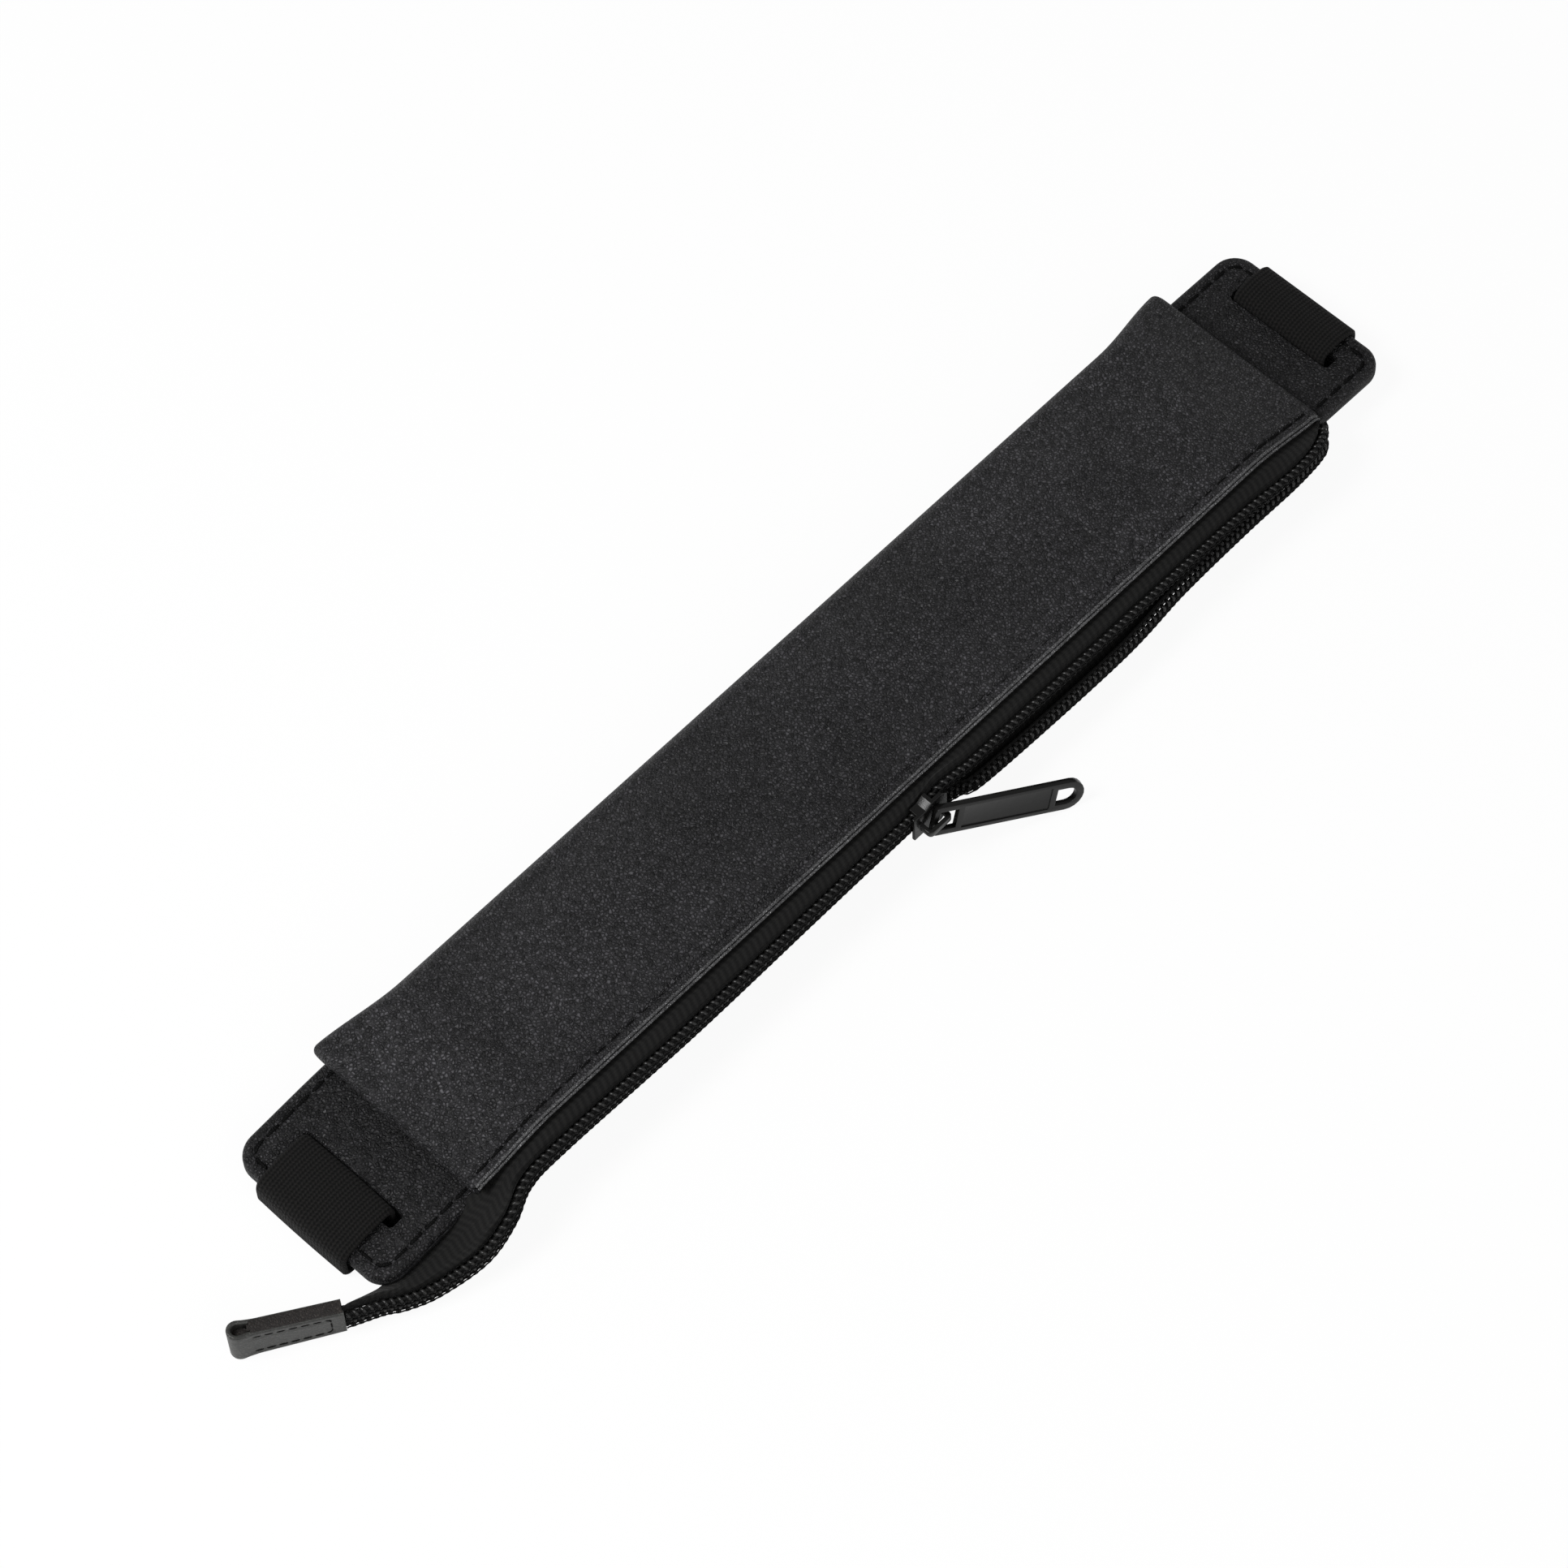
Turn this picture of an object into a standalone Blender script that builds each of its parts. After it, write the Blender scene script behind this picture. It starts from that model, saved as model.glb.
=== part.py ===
"""A zipped pen pouch on a stiff leather plate, held to a notebook by an elastic strap.

Run with: blender --background --python part.py
Metres, +Z up. X runs along the pouch and -Y is the side with the zip. The origin is the
middle of the strap's underside, which lies on the table.
"""

import math

import bmesh
import bpy
from mathutils import Vector

MM = 0.001
UP = Vector((0, 0, 1))

# Clearances
GAP = 0.3 * MM
OVERRUN = 2 * MM
WELD = 0.001 * MM

# Plate: front leather, board and back leather, sewn together round the edge
PLATE_LENGTH = 217.2 * MM
PLATE_WIDTH = 31.7 * MM
PLATE_CORNER = 4 * MM
PLATE_BOTTOM = 4.3 * MM
FRONT_LEATHER = 0.9 * MM
BOARD = 0.6 * MM
BACK_LEATHER = 0.7 * MM
SEAM_MARGIN = 3 * MM
BOARD_CORNER = 2 * MM

# Plate ends, which the taut strap bends down, the left one most
BEND_FROM_END = 24.6 * MM
BEND_LENGTH = 12 * MM
LEFT_BEND_SLOPE = 0.11
RIGHT_BEND_SLOPE = 0.03
BEND_SLICES = 3

# Slots that the strap passes through
SLOT_LENGTH = 20 * MM
SLOT_WIDTH = 2.8 * MM
SLOT_CORNER = 0.6 * MM
LEFT_SLOT_FROM_END = 10 * MM
RIGHT_SLOT_FROM_END = 7.6 * MM
SLOT_WALL = 1.5 * MM

# Elastic strap
STRAP_WIDTH = 18 * MM
STRAP = 1.2 * MM
STRAP_OFFSET = 0.5 * MM
STRAP_TURN = 0.95 * MM
TURNED_END = 15 * MM
RUN_FROM_PLATE_END = 30.9 * MM

# Pouch
POUCH_FROM_PLATE_END = 17.5 * MM
POUCH_SHIFT = 0.9 * MM
POUCH_FRONT = 16.2 * MM
POUCH_BACK = 17.6 * MM
POUCH_DRAWN_IN = 2.2 * MM
POUCH_END_HEIGHT = 3.7 * MM
POUCH_SIDE_HEIGHT = 6.1 * MM
POUCH_CROWN = 1.9 * MM
SIDE_TAPER = 16 * MM
CROWN_TAPER = 40 * MM
FRONT_PANEL = 1.0 * MM
BACK_PANEL = 0.8 * MM
END_WALL = 1.6 * MM

# Binding along the front panel's hem
BINDING_RADIUS = 0.4 * MM

# Zip rows and tapes
CHAIN_STANDOFF = 3 * MM
CHAIN_RISE = 2.4 * MM
TAPE = 0.5 * MM
TAPE_TUCK = 1.6 * MM
TAPE_LIP = 1.75 * MM
TAPE_DROP = 1.0 * MM
TAPE_SHOULDER = 2.4 * MM
TAPE_BEND = 2.0 * MM
TAPE_INNER = 0.35 * MM
TOOTH_PITCH = 1.15 * MM
TOOTH_HEIGHT = 1.25 * MM
TOOTH_ROOT = 1.8 * MM
TOOTH_HEAD = 0.45 * MM
COIL_VALLEY = 0.9 * MM
COIL_NECK = 0.2 * MM
COIL_MESH_GAP = 0.15 * MM
COIL_ROUND = 0.3 * MM

# Slider
SLIDER_X = -1.5 * MM
SLIDER_LENGTH = 9 * MM
SLIDER_WALL = 0.6 * MM
SLIDER_CLEARANCE = 0.25 * MM
SLIDER_MOUTH_HALF = 3.6 * MM
SLIDER_THROAT_HALF = 2.75 * MM
SLIDER_BACK_HALF = 1.9 * MM
SLIDER_POST_LENGTH = 1.4 * MM
SLIDER_POST_HALF = 0.25 * MM
BRIDGE_LENGTH = 4.8 * MM
BRIDGE_OFFSET = 0.85 * MM
BRIDGE_WIDTH = 1.2 * MM
BRIDGE_WALL = 0.7 * MM
BRIDGE_HOLE = 1.7 * MM

# Pull
PULL_SWAY = math.radians(18.4)
PULL_LIFT = math.radians(22.6)
PULL_TWIST = math.radians(5)
PULL_REACH = 22.3 * MM
PULL_WIDTH = 5.5 * MM
PULL_THICKNESS = 1.05 * MM
PULL_BAR = 0.8 * MM
PULL_ARM = 0.95 * MM
PULL_WINDOW_END = 3.6 * MM
PULL_RIM = 0.7 * MM
PULL_RECESS = 0.25 * MM
PULL_HOLE_RADIUS = 1.55 * MM
PULL_HOLE_BACK = 1.9 * MM
PULL_PANEL_MARGIN = 1 * MM

# Folded leather tab on the zip's tail
TAB_LENGTH = 16.9 * MM
TAB_MOUTH_HEIGHT = 5.6 * MM
TAB_LOOP_HEIGHT = 6.8 * MM
TAB_LEATHER = 0.75 * MM
TAB_SLIT = 1.1 * MM
TAB_LOOP_RADIUS = 1.25 * MM
TAB_LIFT = 0.1 * MM

# Worked out from the sizes above
PLATE_THICKNESS = FRONT_LEATHER + BOARD + BACK_LEATHER + 2 * GAP
PLATE_TOP = PLATE_BOTTOM + PLATE_THICKNESS
PLATE_HALF = PLATE_LENGTH / 2
BEND_START = PLATE_HALF - BEND_FROM_END
STRAP_RUN_HALF = PLATE_HALF - RUN_FROM_PLATE_END
POUCH_HALF = PLATE_HALF - POUCH_FROM_PLATE_END
POUCH_BASE = PLATE_TOP + GAP
CHAIN_OUT = POUCH_FRONT + CHAIN_STANDOFF
CHAIN_Z = PLATE_TOP + CHAIN_RISE
TOOTH_FLOOR = GAP
TOOTH_TOP = TOOTH_FLOOR + TOOTH_HEIGHT

# Zip routes, as shares of POUCH_HALF from the pouch's middle, of CHAIN_OUT and of CHAIN_Z
CLOSED_SHARES = (
    (-1.2924, 0.647, 0.34),
    (-1.269, 0.719, 0.33),
    (-1.213, 0.8385, 0.29),
    (-1.181, 0.932, 0.27),
    (-1.132, 1.031, 0.30),
    (-1.053, 1.125, 0.48),
    (-0.991, 1.115, 0.79),
    (-0.932, 1.02, 0.98),
    (-0.844, 0.995, 1.0),
    (-0.559, 1.015, 1.0),
    (-0.284, 1.0, 1.0),
    (-0.09, 0.99, 1.0),
    (-0.035, 0.99, 1.0),
)
UPPER_OPEN_SHARES = (
    (0.004, 0.984, 1.063),
    (0.028, 0.978, 1.11),
    (0.07, 0.99, 1.09),
    (0.12, 0.997, 1.065),
    (0.43, 0.99, 1.03),
    (0.6, 0.99, 1.02),
    (0.76, 1.0, 1.015),
    (0.87, 1.035, 1.0),
    (0.93, 1.015, 0.94),
    (0.965, 0.96, 0.84),
    (0.978, 0.93, 0.8),
)
LOWER_OPEN_SHARES = (
    (0.004, 0.988, 0.937),
    (0.028, 0.988, 0.89),
    (0.07, 1.025, 0.85),
    (0.12, 1.075, 0.81),
    (0.43, 1.09, 0.77),
    (0.6, 1.04, 0.81),
    (0.76, 1.03, 0.85),
    (0.87, 1.035, 0.86),
    (0.93, 1.01, 0.8),
    (0.965, 0.97, 0.71),
    (0.978, 0.94, 0.67),
)
# Free edges of the two tapes in the tail: out and height for the upper, then for the lower
TAIL_EDGE_SHARES = (
    (0.634, 0.57, 0.634, 0.08),
    (0.706, 0.57, 0.706, 0.08),
    (0.755, 0.3, 0.755, 0.06),
    (0.79, 0.16, 0.79, 0.05),
    (0.77, 0.17, 0.77, 0.05),
    (0.857, 0.42, 0.77, 0.12),
    (0.872, 0.87, 0.872, 0.6),
)
TEETH_START_STATION = 1
ROUTE_STEPS = 3

part = bpy.data.collections.new("elastic_pen_holder")
cutters = bpy.data.collections.new("cutters")


# Helpers


def clear_scene():
    """Removes whatever the file opened with."""
    for obj in list(bpy.data.objects):
        bpy.data.objects.remove(obj, do_unlink=True)
    bpy.context.scene.collection.children.link(part)
    bpy.context.scene.collection.children.link(cutters)


def material(name, colour, roughness, metallic=0.0):
    """One Principled material for one piece."""
    made = bpy.data.materials.new(name)
    made.use_nodes = True
    shader = made.node_tree.nodes["Principled BSDF"]
    shader.inputs["Base Color"].default_value = (*colour, 1.0)
    shader.inputs["Roughness"].default_value = roughness
    shader.inputs["Metallic"].default_value = metallic
    return made


LEATHER = (0.018, 0.018, 0.02)
TEXTILE = (0.008, 0.008, 0.009)
NYLON = (0.012, 0.012, 0.013)
PAINTED_METAL = (0.02, 0.02, 0.021)
BOARD_GREY = (0.25, 0.24, 0.22)


def add_object(name, data, collection=part):
    """Links an object to one of the two collections."""
    obj = bpy.data.objects.new(name, data)
    collection.objects.link(obj)
    if collection is cutters:
        obj.hide_render = True
        obj.display_type = "WIRE"
    return obj


def finish(obj, colour, roughness, metallic=0.0, angle=40):
    """Shades a piece smooth with sharp edges kept and gives it its material."""
    if obj.type == "MESH":
        obj.data.shade_smooth()
        obj.data.set_sharp_from_angle(angle=math.radians(angle))
    obj.data.materials.append(material(obj.name, colour, roughness, metallic))
    return obj


def baked(obj):
    """The evaluated mesh of an object in world space, welded; the object is removed."""
    graph = bpy.context.evaluated_depsgraph_get()
    mesh = bpy.data.meshes.new_from_object(obj.evaluated_get(graph))
    mesh.transform(obj.matrix_world)
    bm = bmesh.new()
    bm.from_mesh(mesh)
    bmesh.ops.remove_doubles(bm, verts=bm.verts, dist=WELD)
    bm.to_mesh(mesh)
    bm.free()
    bpy.data.objects.remove(obj, do_unlink=True)
    return mesh


def cut(obj, cutter, operation="DIFFERENCE"):
    """Adds an exact Boolean of the cutter to a piece."""
    modifier = obj.modifiers.new(cutter.name, "BOOLEAN")
    modifier.operation = operation
    modifier.object = cutter
    return modifier


def loft(name, rings, collection=part):
    """Skins closed rings of equal length and caps both ends."""
    bm = bmesh.new()
    rows = [[bm.verts.new(point) for point in ring] for ring in rings]
    count = len(rows[0])
    for low, high in zip(rows, rows[1:]):
        for i in range(count):
            j = (i + 1) % count
            bm.faces.new((low[i], low[j], high[j], high[i]))
    bm.faces.new(rows[0][::-1])
    bm.faces.new(rows[-1])
    bmesh.ops.recalc_face_normals(bm, faces=bm.faces)
    mesh = bpy.data.meshes.new(name)
    bm.to_mesh(mesh)
    bm.free()
    return add_object(name, mesh, collection)


def sheet(name, rows, thickness):
    """Skins rows of points as an open surface and thickens it evenly to both sides."""
    bm = bmesh.new()
    grid = [[bm.verts.new(point) for point in row] for row in rows]
    for low, high in zip(grid, grid[1:]):
        for i in range(len(low) - 1):
            bm.faces.new((low[i], low[i + 1], high[i + 1], high[i]))
    bmesh.ops.recalc_face_normals(bm, faces=bm.faces)
    mesh = bpy.data.meshes.new(name)
    bm.to_mesh(mesh)
    bm.free()
    obj = add_object(name, mesh)
    solid = obj.modifiers.new("thickness", "SOLIDIFY")
    solid.thickness = thickness
    solid.offset = 0
    return obj


def arc(centre, radius, start, end, steps):
    """Points of a 2D arc, ends included; angles in degrees."""
    angles = [math.radians(start + (end - start) * i / steps) for i in range(steps + 1)]
    return [(centre[0] + radius * math.cos(a), centre[1] + radius * math.sin(a)) for a in angles]


def rounded_box(half_x, half_y, radius, centre=(0, 0), steps=5):
    """Outline of a rectangle with round corners."""
    outline = []
    for sx, sy, start in ((1, 1, 0), (-1, 1, 90), (-1, -1, 180), (1, -1, 270)):
        middle = (centre[0] + sx * (half_x - radius), centre[1] + sy * (half_y - radius))
        outline += arc(middle, radius, start, start + 90, steps)
    return outline


def flat(name, outline, bottom, top, collection=part):
    """A flat piece of one outline, lying between two heights."""
    curve = bpy.data.curves.new(name, "CURVE")
    curve.dimensions = "2D"
    curve.fill_mode = "BOTH"
    curve.extrude = (top - bottom) / 2
    spline = curve.splines.new("POLY")
    spline.points.add(len(outline) - 1)
    for point, (x, y) in zip(spline.points, outline):
        point.co = (x, y, 0, 1)
    spline.use_cyclic_u = True
    obj = add_object(name, curve, collection)
    obj.location = (0, 0, (top + bottom) / 2)
    bpy.context.view_layer.update()
    mesh = baked(obj)
    mesh.name = name
    return add_object(name, mesh, collection)


def smooth(value):
    """Smoothstep, held at 0 and 1 outside the range."""
    value = min(max(value, 0), 1)
    return value * value * (3 - 2 * value)


def spline_point(points, u):
    """Catmull-Rom through the points; u counts them from 0."""
    last = len(points) - 1
    i = min(int(u), last - 1)
    t = u - i
    a, b, c, d = (points[min(max(k, 0), last)] for k in (i - 1, i, i + 1, i + 2))
    return (b * 2 + (c - a) * t + (a * 2 - b * 5 + c * 4 - d) * t**2 + (b * 3 - a - c * 3 + d) * t**3) / 2


# Plate


def bend(x):
    """How far the plate has dropped at a place along X."""
    slope = LEFT_BEND_SLOPE if x < 0 else RIGHT_BEND_SLOPE
    past = abs(x) - BEND_START
    if past <= 0:
        return 0
    if past < BEND_LENGTH:
        return slope * past * past / (2 * BEND_LENGTH)
    return slope * (past - BEND_LENGTH / 2)


def bent(obj):
    """Bakes a flat piece, slices it across its ends and drops them along the bend."""
    name = obj.name
    mesh = baked(obj)
    bm = bmesh.new()
    bm.from_mesh(mesh)
    bmesh.ops.triangulate(bm, faces=bm.faces)
    for side in (-1, 1):
        for i in range(BEND_SLICES + 1):
            x = side * (BEND_START + BEND_LENGTH * i / BEND_SLICES)
            geometry = bm.verts[:] + bm.edges[:] + bm.faces[:]
            bmesh.ops.bisect_plane(bm, geom=geometry, plane_co=(x, 0, 0), plane_no=(1, 0, 0), dist=WELD)
    for vert in bm.verts:
        vert.co.z -= bend(vert.co.x)
    bm.to_mesh(mesh)
    bm.free()
    return add_object(name, mesh)


def slot_centre(side):
    """Middle of a slot along X."""
    from_end = LEFT_SLOT_FROM_END if side < 0 else RIGHT_SLOT_FROM_END
    return side * (PLATE_HALF - from_end + SLOT_WIDTH / 2)


def cut_slots(obj):
    """Cuts both slots through a flat piece."""
    for name, side in (("slot_left", -1), ("slot_right", 1)):
        size = (SLOT_WIDTH / 2, SLOT_LENGTH / 2, SLOT_CORNER)
        outline = rounded_box(*size, centre=(slot_centre(side), 0), steps=2)
        cut(obj, flat(name, outline, PLATE_BOTTOM - OVERRUN, PLATE_TOP + OVERRUN, cutters))


def board_outline(clearance):
    """Outline of the board, or of its pocket, which stop short of the slots and the seam."""
    low, high = (slot_centre(side) - side * (SLOT_WIDTH / 2 + SLOT_WALL) for side in (-1, 1))
    size = ((high - low) / 2 + clearance, PLATE_WIDTH / 2 - SEAM_MARGIN + clearance, BOARD_CORNER)
    return rounded_box(*size, centre=((low + high) / 2, 0))


def plate_front():
    """Front leather, with a shallow pocket underneath for the board."""
    rim = PLATE_TOP - FRONT_LEATHER - BOARD - GAP
    outline = rounded_box(PLATE_HALF, PLATE_WIDTH / 2, PLATE_CORNER)
    obj = flat("plate_front_leather", outline, rim, PLATE_TOP)
    roof = PLATE_TOP - FRONT_LEATHER
    cut(obj, flat("board_pocket", board_outline(GAP), rim - OVERRUN, roof, cutters))
    cut_slots(obj)
    return finish(bent(obj), LEATHER, 0.5)


def plate_board():
    """Stiffening board between the two leathers."""
    top = PLATE_TOP - FRONT_LEATHER - GAP
    obj = flat("plate_board", board_outline(0), top - BOARD, top)
    return finish(bent(obj), BOARD_GREY, 0.8)


def plate_back():
    """Back leather."""
    outline = rounded_box(PLATE_HALF, PLATE_WIDTH / 2, PLATE_CORNER)
    top = PLATE_BOTTOM + BACK_LEATHER
    obj = flat("plate_back_leather", outline, PLATE_BOTTOM, top)
    cut_slots(obj)
    return finish(bent(obj), LEATHER, 0.55)


# Elastic strap


def strap_band(name, path, angle=40):
    """A band of the strap's width whose middle line runs through (x, z) points."""
    edges = (STRAP_OFFSET - STRAP_WIDTH / 2, STRAP_OFFSET + STRAP_WIDTH / 2)
    rows = [[Vector((x, y, z)) for x, z in path] for y in edges]
    return finish(sheet(name, rows, STRAP), TEXTILE, 0.9, angle=angle)


def strap_loop(name, side):
    """One end of the strap: round the plate's end, into the slot, and sewn back on itself."""
    slot_outer = abs(slot_centre(side)) + SLOT_WIDTH / 2
    slot_inner = slot_outer - SLOT_WIDTH
    outside = PLATE_HALF + GAP + STRAP / 2
    inside = slot_outer - GAP - STRAP / 2
    over = GAP + STRAP / 2
    low = STRAP / 2
    tail = STRAP + GAP + STRAP / 2
    end_top = PLATE_TOP - bend(side * PLATE_HALF) + over
    slot_top = PLATE_TOP - bend(side * slot_outer) + over
    r = STRAP_TURN
    path = [(STRAP_RUN_HALF + GAP, low)]
    path += arc((outside - r, low + r), r, -90, 0, 4)
    path += arc((outside - r, end_top - r), r, 0, 90, 4)
    path += arc((inside + r, slot_top - r), r, 90, 180, 4)
    path += arc((inside - r, tail + r), r, 0, -90, 4)
    path += [(slot_inner - TURNED_END, tail)]
    return strap_band(name, [(side * x, z) for x, z in path])


def strap_run():
    """The straight length behind the plate, which stretches away to take a notebook cover."""
    ends = (-STRAP_RUN_HALF, STRAP_RUN_HALF)
    return strap_band("strap_run", [(x, STRAP / 2) for x in ends])


# Pouch


def from_pouch_end(x):
    """Distance of a place along X from the nearer end of the pouch."""
    return max(POUCH_HALF - abs(x - POUCH_SHIFT), 0)


def side_height(x):
    """Height of the pouch's hem and of its fold over its base."""
    return POUCH_END_HEIGHT + (POUCH_SIDE_HEIGHT - POUCH_END_HEIGHT) * smooth(from_pouch_end(x) / SIDE_TAPER)


def pouch_ring(x, under, over, back_wall, front, squeeze=1.0):
    """Section of the pouch: flat base, rounded fold at the back and a crowned top."""
    height = side_height(x)
    crown = POUCH_CROWN * smooth(from_pouch_end(x) / CROWN_TAPER)
    back = POUCH_BACK - POUCH_DRAWN_IN * smooth(from_pouch_end(x) / SIDE_TAPER) - back_wall
    low, high = under, height - over
    middle = (low + high) / 2
    bulge = (high - low) / 2
    fold = back - bulge
    points = [(-front, low), (fold, low)]
    points += arc((fold, middle), bulge, -60, 60, 4)
    points += [(fold, high)]
    for i in range(1, 9):
        share = i / 8
        y = fold - (fold + front) * share
        arch = 1 - (2 * share - 1) ** 2
        points.append((y, high + crown * arch))
    return [Vector((x, y, POUCH_BASE + middle + (z - middle) * squeeze)) for y, z in points]


def pouch_stations(half):
    """Places along X for the pouch's sections, closer where its ends taper."""
    taper = [half - SIDE_TAPER * k / 5 for k in range(1, 6)]
    inner = [half - CROWN_TAPER * k / 3 for k in (2, 3)]
    reach = taper + inner
    return [POUCH_SHIFT - x for x in reach] + [POUCH_SHIFT] + [POUCH_SHIFT + x for x in reversed(reach)]


def pouch_shell():
    """Front panel, fold and back panel in one leather, open along the zip."""
    round_end = FRONT_PANEL
    ends = ((0, 0.4), (round_end / 4, 0.8), (round_end, 1.0))
    left = [(POUCH_SHIFT - POUCH_HALF + inset, squeeze) for inset, squeeze in ends]
    right = [(POUCH_SHIFT + POUCH_HALF - inset, squeeze) for inset, squeeze in reversed(ends)]
    stations = left + [(x, 1.0) for x in pouch_stations(POUCH_HALF)] + right
    obj = loft("pouch_shell", [pouch_ring(x, 0, 0, 0, POUCH_FRONT, squeeze) for x, squeeze in stations])
    cavity_half = POUCH_HALF - END_WALL
    cavity = [POUCH_SHIFT - cavity_half, *pouch_stations(POUCH_HALF), POUCH_SHIFT + cavity_half]
    walls = (BACK_PANEL, FRONT_PANEL, FRONT_PANEL, POUCH_FRONT + OVERRUN)
    cutter = loft("pouch_cavity", [pouch_ring(x, *walls) for x in cavity], cutters)
    cut(obj, cutter)
    mesh = baked(obj)
    return finish(add_object("pouch_shell", mesh), LEATHER, 0.45)


def hem_binding():
    """Rounded binding along the front panel's hem."""
    curve = bpy.data.curves.new("hem_binding", "CURVE")
    curve.dimensions = "3D"
    curve.bevel_depth = BINDING_RADIUS
    curve.bevel_resolution = 1
    curve.use_fill_caps = True
    reach = POUCH_HALF - BINDING_RADIUS
    stations = [POUCH_SHIFT - reach, *pouch_stations(POUCH_HALF), POUCH_SHIFT + reach]
    y = -POUCH_FRONT - GAP - BINDING_RADIUS
    drop = BINDING_RADIUS - GAP / 3
    spline = curve.splines.new("POLY")
    spline.points.add(len(stations) - 1)
    for point, x in zip(spline.points, stations):
        point.co = (x, y, POUCH_BASE + side_height(x) - drop, 1)
    obj = add_object("hem_binding", curve)
    return finish(obj, LEATHER, 0.35)


# Zip


def route(shares):
    """A zip row's stations as points."""
    return [
        Vector((POUCH_SHIFT + x * POUCH_HALF, -out * CHAIN_OUT, height * CHAIN_Z))
        for x, out, height in shares
    ]


UPPER_ROUTE = route(CLOSED_SHARES + UPPER_OPEN_SHARES)
LOWER_ROUTE = route(CLOSED_SHARES + LOWER_OPEN_SHARES)


def zip_frame(points, u):
    """Place, direction, across and outward vectors of a zip row at u; the zip stands on edge."""
    step = 0.05
    place = spline_point(points, u)
    low = spline_point(points, max(u - step, 0))
    high = spline_point(points, min(u + step, len(points) - 1))
    along = (high - low).normalized()
    outward = along.cross(UP).normalized()
    return place, along, outward.cross(along), outward


def tail_edge(u, lower):
    """The tape's free edge in the tail, at a station counted from the tab."""
    points = [
        Vector((0, -row[2 * lower] * CHAIN_OUT, row[2 * lower + 1] * CHAIN_Z)) for row in TAIL_EDGE_SHARES
    ]
    return spline_point(points, min(u, len(points) - 1))


def sewn_edges(x, lower):
    """Where the tape is sewn in the pouch: its free edge and its lip, as (y, z)."""
    if lower:
        height = POUCH_BASE + BACK_PANEL / 2
        return (-POUCH_FRONT - GAP, height), (-POUCH_FRONT - TAPE_DROP, height - TAPE_DROP)
    height = POUCH_BASE + side_height(x) - FRONT_PANEL - GAP - TAPE / 2
    return (-POUCH_FRONT + TAPE_TUCK, height), (-POUCH_FRONT - TAPE_LIP, height)


def tape_row(points, u, lower):
    """Section of a tape from its free edge to its row of teeth."""
    sign = -1 if lower else 1
    place, _, across, outward = zip_frame(points, u)
    back = place - outward * TAPE / 2
    near_slider = smooth((from_pouch_end(place.x) - END_WALL) / SIDE_TAPER)
    reach = TAPE_BEND + (TAPE_SHOULDER - TAPE_BEND) * near_slider
    shoulder = back + across * sign * reach
    tail_last = len(TAIL_EDGE_SHARES) - 1
    (edge_y, edge_z), (lip_y, lip_z) = sewn_edges(place.x, lower)
    edge = Vector((place.x, edge_y, edge_z))
    lip = Vector((place.x, max(lip_y, shoulder.y + GAP), lip_z))
    if u < tail_last + 1:
        share = smooth(u - tail_last)
        free = tail_edge(u, lower)
        free.x = place.x
        edge = free.lerp(edge, share)
        lip = free.lerp(shoulder, 1 / 3).lerp(lip, share)
    root = back + across * sign * TOOTH_ROOT
    inner = back + across * sign * TAPE_INNER
    return [edge, lip, shoulder, root, inner]


def zip_tape(name, points, lower):
    """A woven tape from the pouch's seam to the middle of the zip."""
    count = (len(points) - 1) * ROUTE_STEPS
    rows = [tape_row(points, i / ROUTE_STEPS, lower) for i in range(count + 1)]
    return finish(sheet(name, rows, TAPE), TEXTILE, 0.85)


def coil_ring(frame, sign, turn):
    """Section of a coil: tall and long on a turn, low and short between turns."""
    place, along, across, outward = frame
    inner = -TOOTH_HEAD if turn else TOOTH_HEAD + COIL_MESH_GAP
    top = TOOTH_TOP if turn else COIL_VALLEY
    root = TOOTH_ROOT if turn else TOOTH_ROOT - COIL_NECK
    section = (
        (root, TOOTH_FLOOR),
        (root - COIL_ROUND, top),
        (inner + COIL_ROUND, top),
        (inner, TOOTH_FLOOR),
    )
    return [place + across * sign * y + outward * z for y, z in section]


def zip_coil(name, points, lower):
    """A row of coil turns at an even pitch; the other row's turns fall between them."""
    sign = -1 if lower else 1
    samples = 60
    last = spline_point(points, TEETH_START_STATION)
    travelled = 0
    count = 0
    rings = []
    for i in range(TEETH_START_STATION * samples + 1, (len(points) - 1) * samples + 1):
        u = i / samples
        place = spline_point(points, u)
        travelled += (place - last).length
        last = place
        if travelled >= (count + 1) * TOOTH_PITCH / 2:
            count += 1
            rings.append(coil_ring(zip_frame(points, u), sign, count % 2 == lower))
    return finish(loft(name, rings), NYLON, 0.4, angle=30)


# Slider and pull


def slider_axes():
    """The slider's own frame: its centre in the chain, along, across and outward."""
    u = len(CLOSED_SHARES) - 1
    place = spline_point(UPPER_ROUTE, u)
    place.x = SLIDER_X
    return place, Vector((1, 0, 0)), UP, Vector((0, -1, 0))


def slider_prism(name, outline, low, high, collection=part):
    """Extrudes an outline of (along, across) points between two heights off the tape."""
    place, along, across, outward = slider_axes()
    rings = [
        [place + along * x + across * y + outward * height for x, y in outline] for height in (low, high)
    ]
    return loft(name, rings, collection)


def slider_outline(inset, mouth, throat):
    """Outline of the slider, wide at its mouth (+X) and narrow at its throat."""
    half = SLIDER_LENGTH / 2 - inset
    m, t = mouth - inset, throat - inset
    shoulder = SLIDER_LENGTH / 8
    return [
        (-half, -t),
        (0, -t),
        (shoulder, -m),
        (half - shoulder, -m),
        (half, -m + shoulder),
        (half, m - shoulder),
        (half - shoulder, m),
        (shoulder, m),
        (0, t),
        (-half, t),
    ]


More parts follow.
